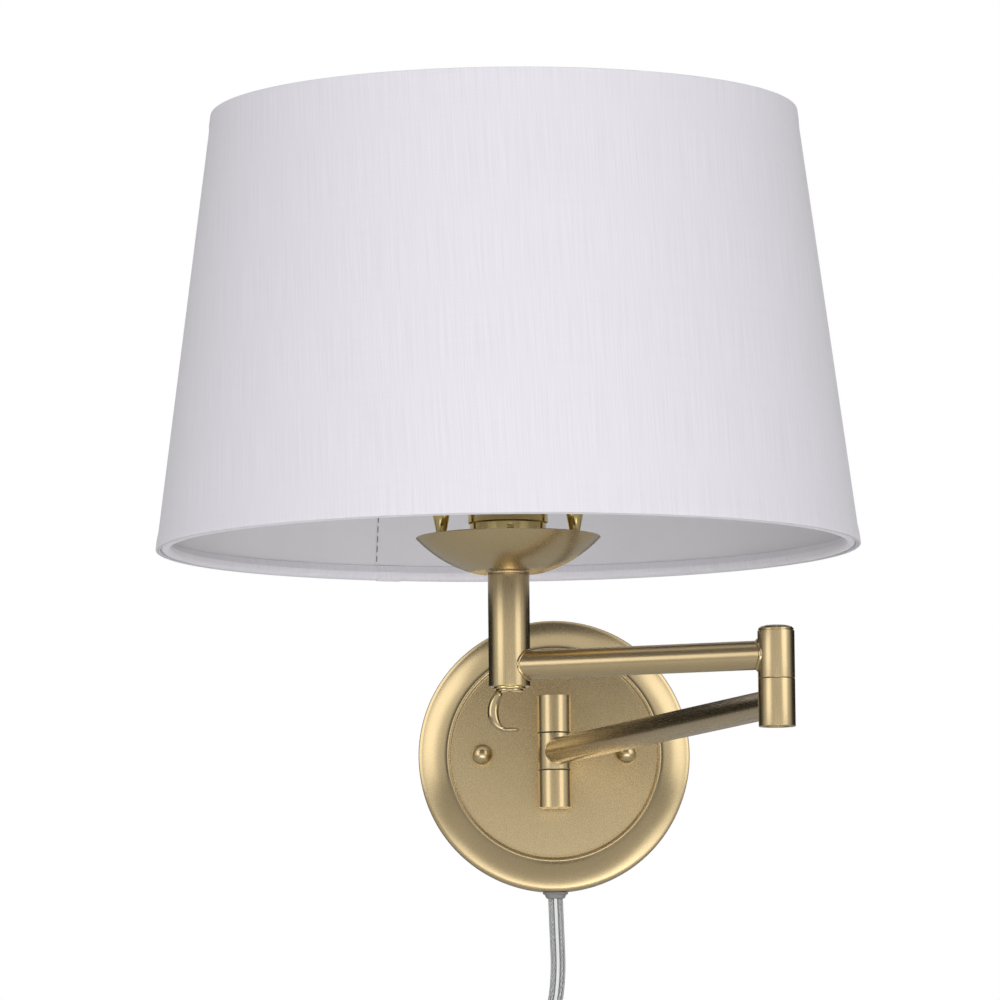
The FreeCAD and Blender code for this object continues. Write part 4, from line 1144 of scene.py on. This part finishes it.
def make_hems():
    """Turned hem tapes round both ring wires."""
    tapes = []
    for name, edge, way in (("lower_tape", SHADE_FOOT, 1), ("upper_tape", SHADE_TOP, -1)):
        loose, tight = hem_outline(edge, way)
        tapes.append(shade_skin(name, [*loose, *reversed(tight)], "tape"))
    stands_for(joined("hem_tape_pair", *tapes), "hem_tapes")


def distances(points):
    """How far along a chain each of its points is."""
    far = [0.0]
    for a, b in zip(points, points[1:]):
        far.append(far[-1] + (b - a).length)
    return far


def patch(name, outline, finish, steps=8):
    """A closed outline turned about the post over the seam's overlap, with both ends filled."""
    shade = bpy.context.scene.sconce_shade
    swing = shade.overlap / MM / cone_at(SHADE_FOOT)
    ring = rounded(outline)
    rings = [[wheel(POST, r, math.pi / 2 + shade.seam + swing * (k / steps - 0.5), z) for r, z in ring]
             for k in range(steps + 1)]
    far = distances(ring + ring[:1])
    return lofted(name, rings, finish, lambda k, i: (k * shade.overlap / steps, far[i] * MM))


def make_seams():
    """Overlaps of the lining, the cover and the lower hem at the seam, and the line of stitches."""
    hem, thick = bpy.context.scene.sconce_shade.hem / MM, 0.35

    def strip(inset, foot, crown):
        return [(cone_at(foot, inset), foot), (cone_at(crown, inset), crown),
                (cone_at(crown, inset + thick), crown), (cone_at(foot, inset + thick), foot)]

    inner = strip(1.6, SHADE_FOOT + hem + 0.2, SHADE_TOP - hem)
    outer = strip(-thick, SHADE_FOOT + hem * 1.4, SHADE_TOP - hem * 1.4)
    loose, cover = hem_outline(SHADE_FOOT, 1)[0], hem_outline(SHADE_FOOT, 1, 0.6)[0]
    goes_with(patch("lining_overlap", inner, "lining"), "shade_lining")
    goes_with(patch("cover_overlap", outer, "cloth"), "shade_cover")
    goes_with(patch("hem_overlap", [*cover, *reversed(loose)], "tape"), "hem_tapes")
    make_stitches()


def make_stitches():
    """A line of short stitches down the inner seam."""
    shade = bpy.context.scene.sconce_shade
    margin, pitch = shade.hem / MM + 3, 4.4
    outline = [(0, -1.5), (0.22, -1.35), (0.28, 0), (0.22, 1.35), (0, 1.5)]
    stitch = lathed("one_stitch", outline, "thread", steps=8)
    lean = math.atan2(SHADE_WIDE - SHADE_NARROW, SHADE_TOP - SHADE_FOOT)
    turn = math.pi / 2 + shade.seam + 0.47 * shade.overlap / MM / cone_at(SHADE_FOOT)
    places = []
    height = SHADE_FOOT + margin
    while height < SHADE_TOP - margin:
        places.append((wheel(POST, cone_at(height, 2.1), turn, height), (0, -lean, turn)))
        height += pitch
    goes_with(copies_of("seam_stitches", stitch, places, "thread"), "shade_lining")


# ---------------------------------------------------------------- supply lead
LEAD_ROUTE = [
    (0.0, -0.0070, -0.0665), (0.0005, -0.0069, -0.0830), (0.0011, -0.0064, -0.1000),
    (-0.0006, -0.0059, -0.1165), (-0.0062, -0.0056, -0.1305), (-0.0117, -0.0055, -0.1433),
]
TAIL_ROUTE = [
    (-0.0244, -0.0125, -0.1740), (-0.0246, -0.0127, -0.1865), (-0.0254, -0.0125, -0.1985),
    (-0.0256, -0.0120, -0.2100),
]
COIL_CENTRE = Vector((0.019, 0, -0.174))
COIL_COLUMNS = (-0.0055, -0.0125)  # how far each column of turns stands out from the wall


def gently(value):
    """A share from 0 to 1 that starts and ends slowly."""
    share = min(1.0, max(0.0, value))
    return share * share * (3 - 2 * share)


def coil_points():
    """The coil's turns: in through the back column, across, and out through the front one."""
    lead = bpy.context.scene.sconce_lead
    leaves, lands = 3.3, 3.8
    per_turn, start = 16, 135 / 360
    count = round(lead.turns * per_turn)
    points = []
    for k in range(count + 1):
        done = lead.turns * k / count
        depth = min(done / leaves, 1.0, (lead.turns - done) / (lead.turns - lands))
        radius = lead.coil_radius - lead.coil_depth * depth
        step = COIL_COLUMNS[1] - COIL_COLUMNS[0]
        out = COIL_COLUMNS[0] + step * gently((done - leaves) / (lands - leaves))
        turn = TURN * (start + done)
        points.append(COIL_CENTRE + Vector((radius * math.cos(turn), out, radius * math.sin(turn))))
    return points


def lead_line():
    """Points down the middle of the lead, read from its smooth curve."""
    route = [Vector(p) for p in LEAD_ROUTE[:-1]] + coil_points() + [Vector(p) for p in TAIL_ROUTE[1:]]
    curve = bpy.data.curves.new("lead_route", "CURVE")
    curve.dimensions = "3D"
    curve.resolution_u = 6
    spline = curve.splines.new("NURBS")
    spline.points.add(len(route) - 1)
    for point, place in zip(spline.points, route):
        point.co = (*place, 1)
    spline.order_u = 3
    spline.use_endpoint_u = True
    holder = bpy.data.objects.new("lead_route", curve)
    mesh = bpy.data.meshes.new_from_object(holder)
    line = [v.co.copy() for v in mesh.vertices]
    bpy.data.objects.remove(holder)
    bpy.data.curves.remove(curve)
    bpy.data.meshes.remove(mesh)
    return line


def lead_frames(line):
    """For each point of the line: its place, the way across both cores and the way through one core.

    The flat lead faces the room where it hangs and lies edge to the room in the coil.
    """
    outward = Vector((0, -1, 0))
    far = distances(line)
    turned_by = 0.55 * distances([Vector(p) for p in LEAD_ROUTE])[-1]
    tail = distances([Vector(p) for p in TAIL_ROUTE])[-1]
    frames = []
    for k, place in enumerate(line):
        way = (line[min(k + 1, len(line) - 1)] - line[max(k - 1, 0)]).normalized()
        level = way.cross(outward).normalized()
        upright = level.cross(way).normalized()
        back = gently((far[k] - (far[-1] - tail)) / tail)
        turn = gently((far[k] - turned_by) / turned_by) * (1 - back) * math.pi / 2
        across = level * math.cos(turn) + upright * math.sin(turn)
        frames.append((place, across, way.cross(across).normalized(), far[k]))
    return frames


def lead_skin(name, frames, section, finish, shift=0.0):
    """A section carried along the lead, moved off the middle by a shift across both cores."""
    rings = [[place + across * (u + shift) + through * v for u, v in section]
             for place, across, through, _ in frames]
    return lofted(name, rings, finish, lambda k, i: (i / len(section), frames[k][3]))


def make_lead():
    """Clear flat lead with two bright stranded conductors."""
    lead = bpy.context.scene.sconce_lead
    frames = lead_frames(lead_line())
    half, core = lead.width / 2, lead.thick / 2
    apart = half - core
    section = []
    for side, start in ((1, -80), (-1, 110)):
        section += [*arc((side * apart, 0), core, start, start + 150, 5), (0, side * core * 0.72)]
    jacket = lead_skin("supply_lead", frames, section, "clear")
    circle = arc((0, 0), lead.core, 0, 324, 9)
    wires = [lead_skin(f"conductor_{side}", frames, circle, "strands", shift)
             for side, shift in (("left", -0.9 * apart), ("right", 0.9 * apart))]
    stands_for(jacket, "supply_cord", "cord_coil", "cord_tail")
    for wire in wires:
        goes_with(wire, "supply_cord")
    bushing = eased("cord_bushing", 0.35, "bushing")
    tie = eased("cord_tie", 0.5, "tie")
    plug = make_plug()
    ribs = make_plug_ribs()
    repaint("nickel", "plug_blades")


def on_plug(x, y, drop):
    """A point by the plug: off its middle, and down from its top, in millimetres."""
    middle = (low("plug_body") + high("plug_body")) / 2
    return Vector((middle.x + x, middle.y + y, high("plug_body").z - drop)) * MM


def make_plug():
    """Moulded two-blade plug with a waisted grip."""
    rings = []
    for drop, half_x, half_y, power in (
            (0.0, 3.9, 2.4, 2.4), (3.0, 4.3, 2.9, 2.4), (7.5, 5.4, 4.1, 2.6), (10.5, 8.2, 5.1, 2.8),
            (13.5, 11.0, 6.0, 3.2), (17.0, 11.7, 6.0, 3.6), (21.0, 11.0, 5.6, 3.8), (25.0, 11.4, 6.0, 4.2),
            (29.3, 12.0, 6.4, 4.6), (30.0, 11.6, 6.0, 4.6)):
        rings.append([on_plug(x, y, drop) for x, y in squircle(half_x, half_y, power, 32)])
    return stands_for(smoothed(lofted("plug_moulding", rings, "plug"), 1), "plug_body")


def make_plug_ribs():
    """Grip ribs on both broad faces of the plug."""
    outline = [(0, -5.2), (0.5, -4.9), (0.55, 0), (0.5, 4.9), (0, 5.2)]
    rib = lathed("one_rib", outline, "plug", steps=12)
    places = [(on_plug(0, side * 5.75, 16.5 + 2.1 * k), (0, math.radians(90), 0))
              for side in (-1, 1) for k in range(5)]
    return goes_with(copies_of("plug_grip_ribs", rib, places, "plug"), "plug_body")


# ---------------------------------------------------------------- stage
def soft_light(name, place, target, wide, tall, power, spread=180):
    """A rectangular soft light aimed at a target, its spread in degrees."""
    light = bpy.data.lights.new(name, "AREA")
    light.shape = "RECTANGLE"
    light.size, light.size_y, light.energy = wide, tall, power
    light.spread = math.radians(spread)
    lamp = linked(name, light)
    lamp.location = place
    lamp.rotation_euler = (Vector(target) - Vector(place)).to_track_quat("-Z", "Y").to_euler()


def make_camera():
    """The camera looks slightly upwards along +Y."""
    stage = bpy.context.scene.sconce_stage
    view = bpy.data.cameras.new("camera")
    view.sensor_width = 36
    view.lens = stage.lens
    view.clip_start, view.clip_end = 0.05, 50
    camera = linked("camera", view)
    upright = Matrix.Rotation(stage.yaw, 4, "Z") @ Matrix.Rotation(math.radians(90) + stage.pitch, 4, "X")
    camera.matrix_world = Matrix.Translation(stage.place) @ upright @ Matrix.Rotation(stage.roll, 4, "Z")
    bpy.context.scene.camera = camera


def make_surroundings():
    """White surroundings that light the lamp softly from the front half only."""
    world = bpy.data.worlds.new("surroundings")
    world.use_nodes = True
    graph = Graph(world.node_tree)
    back = graph.part(graph.add("ShaderNodeTexCoord", out="Generated"), "Y")
    front = graph.add("ShaderNodeMapRange", {"interpolation_type": "SMOOTHSTEP"}, {
        "Value": back, "From Min": -0.2, "From Max": 0.36, "To Min": 1.0, "To Max": 0.02})
    behind = graph.add("ShaderNodeMapRange", {"interpolation_type": "SMOOTHSTEP"}, {
        "Value": back, "From Min": 0.75, "From Max": 0.97})
    through = graph.add("ShaderNodeLightPath", out="Is Transmission Ray") * behind
    lit = front * bpy.context.scene.sconce_stage.fill + through
    dim, bright = [graph.add("ShaderNodeBackground", None, {"Color": (1, 1, 1, 1), "Strength": strength})
                   for strength in (lit, 1.0)]
    seen = graph.add("ShaderNodeLightPath", out="Is Camera Ray")
    both = graph.add("ShaderNodeMixShader", None, {0: seen, 1: dim, 2: bright})
    graph.add("ShaderNodeOutputWorld", None, {"Surface": both})
    bpy.context.scene.world = world


def make_floor():
    """Plain pale floor, well below the hanging lead."""
    height, reach = bpy.context.scene.sconce_stage.floor, 6.0
    mesh = bpy.data.meshes.new("floor")
    mesh.from_pydata([(x * reach, y * reach, height) for x, y in ((-1, -1), (1, -1), (1, 1), (-1, 1))],
                     [], [(0, 1, 2, 3)])

    def build(graph):
        cloud = graph.noise(graph.place(), 3.0, 4.0)
        tone = graph.mix(cloud, (0.86, 0.86, 0.86, 1), (0.90, 0.90, 0.90, 1))
        return {"Base Color": tone, "Roughness": 0.8}

    mesh.materials.append(material("Pale floor", build))
    linked("floor", mesh)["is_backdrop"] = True


# ---------------------------------------------------------------- operators
class SCONCE_OT_stage(Operator):
    """Add the camera, the lights, the surroundings and the floor"""

    bl_idname = "sconce.stage"
    bl_label = "Stage"

    def execute(self, context):
        stage = context.scene.sconce_stage
        context.scene.view_settings.view_transform = "Standard"
        make_camera()
        make_surroundings()
        make_floor()
        aim = (0, -0.2, 0.05)
        soft_light("light_left", (-1.35, -1.35, 0.6), aim, 1.0, 1.6, stage.key)
        soft_light("light_right", (1.35, -1.35, 0.6), aim, 1.0, 1.6, stage.key)
        soft_light("light_top", (0, -1.0, 2.1), aim, 1.6, 1.0, stage.key * 0.15)
        soft_light("light_low", (0.1, -1.35, -0.52), (0, -0.2, 0.1), 1.9, 0.55, stage.key * 0.28, 80)
        return {"FINISHED"}


class SCONCE_OT_finishes(Operator):
    """Make every finish that the pieces are painted with"""

    bl_idname = "sconce.finishes"
    bl_label = "Finishes"

    def execute(self, context):
        make_finishes()
        return {"FINISHED"}


class SCONCE_OT_lead(Operator):
    """Build the flat clear lead with its coil, tie, bushing and plug"""

    bl_idname = "sconce.lead"
    bl_label = "Supply lead"

    def execute(self, context):
        make_lead()
        return {"FINISHED"}


class SCONCE_OT_plate(Operator):
    """Build the wall plate with its fixings and the pivot"""

    bl_idname = "sconce.plate"
    bl_label = "Wall plate and pivot"

    def execute(self, context):
        make_plate()
        make_ball_nuts()
        make_pivot()
        make_wall_fixings()
        return {"FINISHED"}


class SCONCE_OT_arms(Operator):
    """Build both arms, the elbow, the post and its collar"""

    bl_idname = "sconce.arms"
    bl_label = "Arms and post"

    def execute(self, context):
        make_arms()
        make_collar()
        return {"FINISHED"}


class SCONCE_OT_key(Operator):
    """Build the crescent switch key"""

    bl_idname = "sconce.key"
    bl_label = "Switch key"

    def execute(self, context):
        make_key()
        return {"FINISHED"}


class SCONCE_OT_lamp(Operator):
    """Build the cup, the saddle and harp, the lamp holder, the bulb and the finial"""

    bl_idname = "sconce.lamp"
    bl_label = "Cup, holder and bulb"

    def execute(self, context):
        make_cup()
        make_lamp()
        return {"FINISHED"}


class SCONCE_OT_shade(Operator):
    """Build the cloth shade with its lining, hems and seams"""

    bl_idname = "sconce.shade"
    bl_label = "Shade"

    def execute(self, context):
        make_shade()
        return {"FINISHED"}


STEPS = [
    SCONCE_OT_stage,
    SCONCE_OT_finishes,
    SCONCE_OT_lead,
    SCONCE_OT_plate,
    SCONCE_OT_arms,
    SCONCE_OT_key,
    SCONCE_OT_lamp,
    SCONCE_OT_shade,
]


class SCONCE_PT_pieces(Panel):
    """The sconce's settings and one button for each group of pieces"""

    bl_idname = "SCONCE_PT_pieces"
    bl_label = "Swing arm wall sconce"
    bl_space_type = "VIEW_3D"
    bl_region_type = "UI"
    bl_category = "Sconce"

    def draw(self, context):
        for name, group in SETTINGS.items():
            box = self.layout.box()
            for prop in group.__annotations__:
                box.prop(getattr(context.scene, name), prop)
        for step in STEPS:
            self.layout.operator(step.bl_idname)


CLASSES = [*SETTINGS.values(), *STEPS, SCONCE_PT_pieces]


def register():
    for item in CLASSES:
        bpy.utils.register_class(item)
    for name, group in SETTINGS.items():
        setattr(bpy.types.Scene, name, PointerProperty(type=group))


def unregister():
    for name in SETTINGS:
        delattr(bpy.types.Scene, name)
    for item in reversed(CLASSES):
        bpy.utils.unregister_class(item)


def main():
    """Build everything in order, then gather the frame's box and the finished model's."""
    register()
    for step in STEPS:
        group, name = step.bl_idname.split(".")
        getattr(getattr(bpy.ops, group), name)()
    boxes = {"cad": CAD_BOX, "visual": [list(corner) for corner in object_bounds()]}
    boxes["cad"] = [[float(x) for x in corner] for corner in boxes["cad"]]
    boxes["visual"] = [[float(x) for x in corner] for corner in boxes["visual"]]


if __name__ == "__main__":
    main()
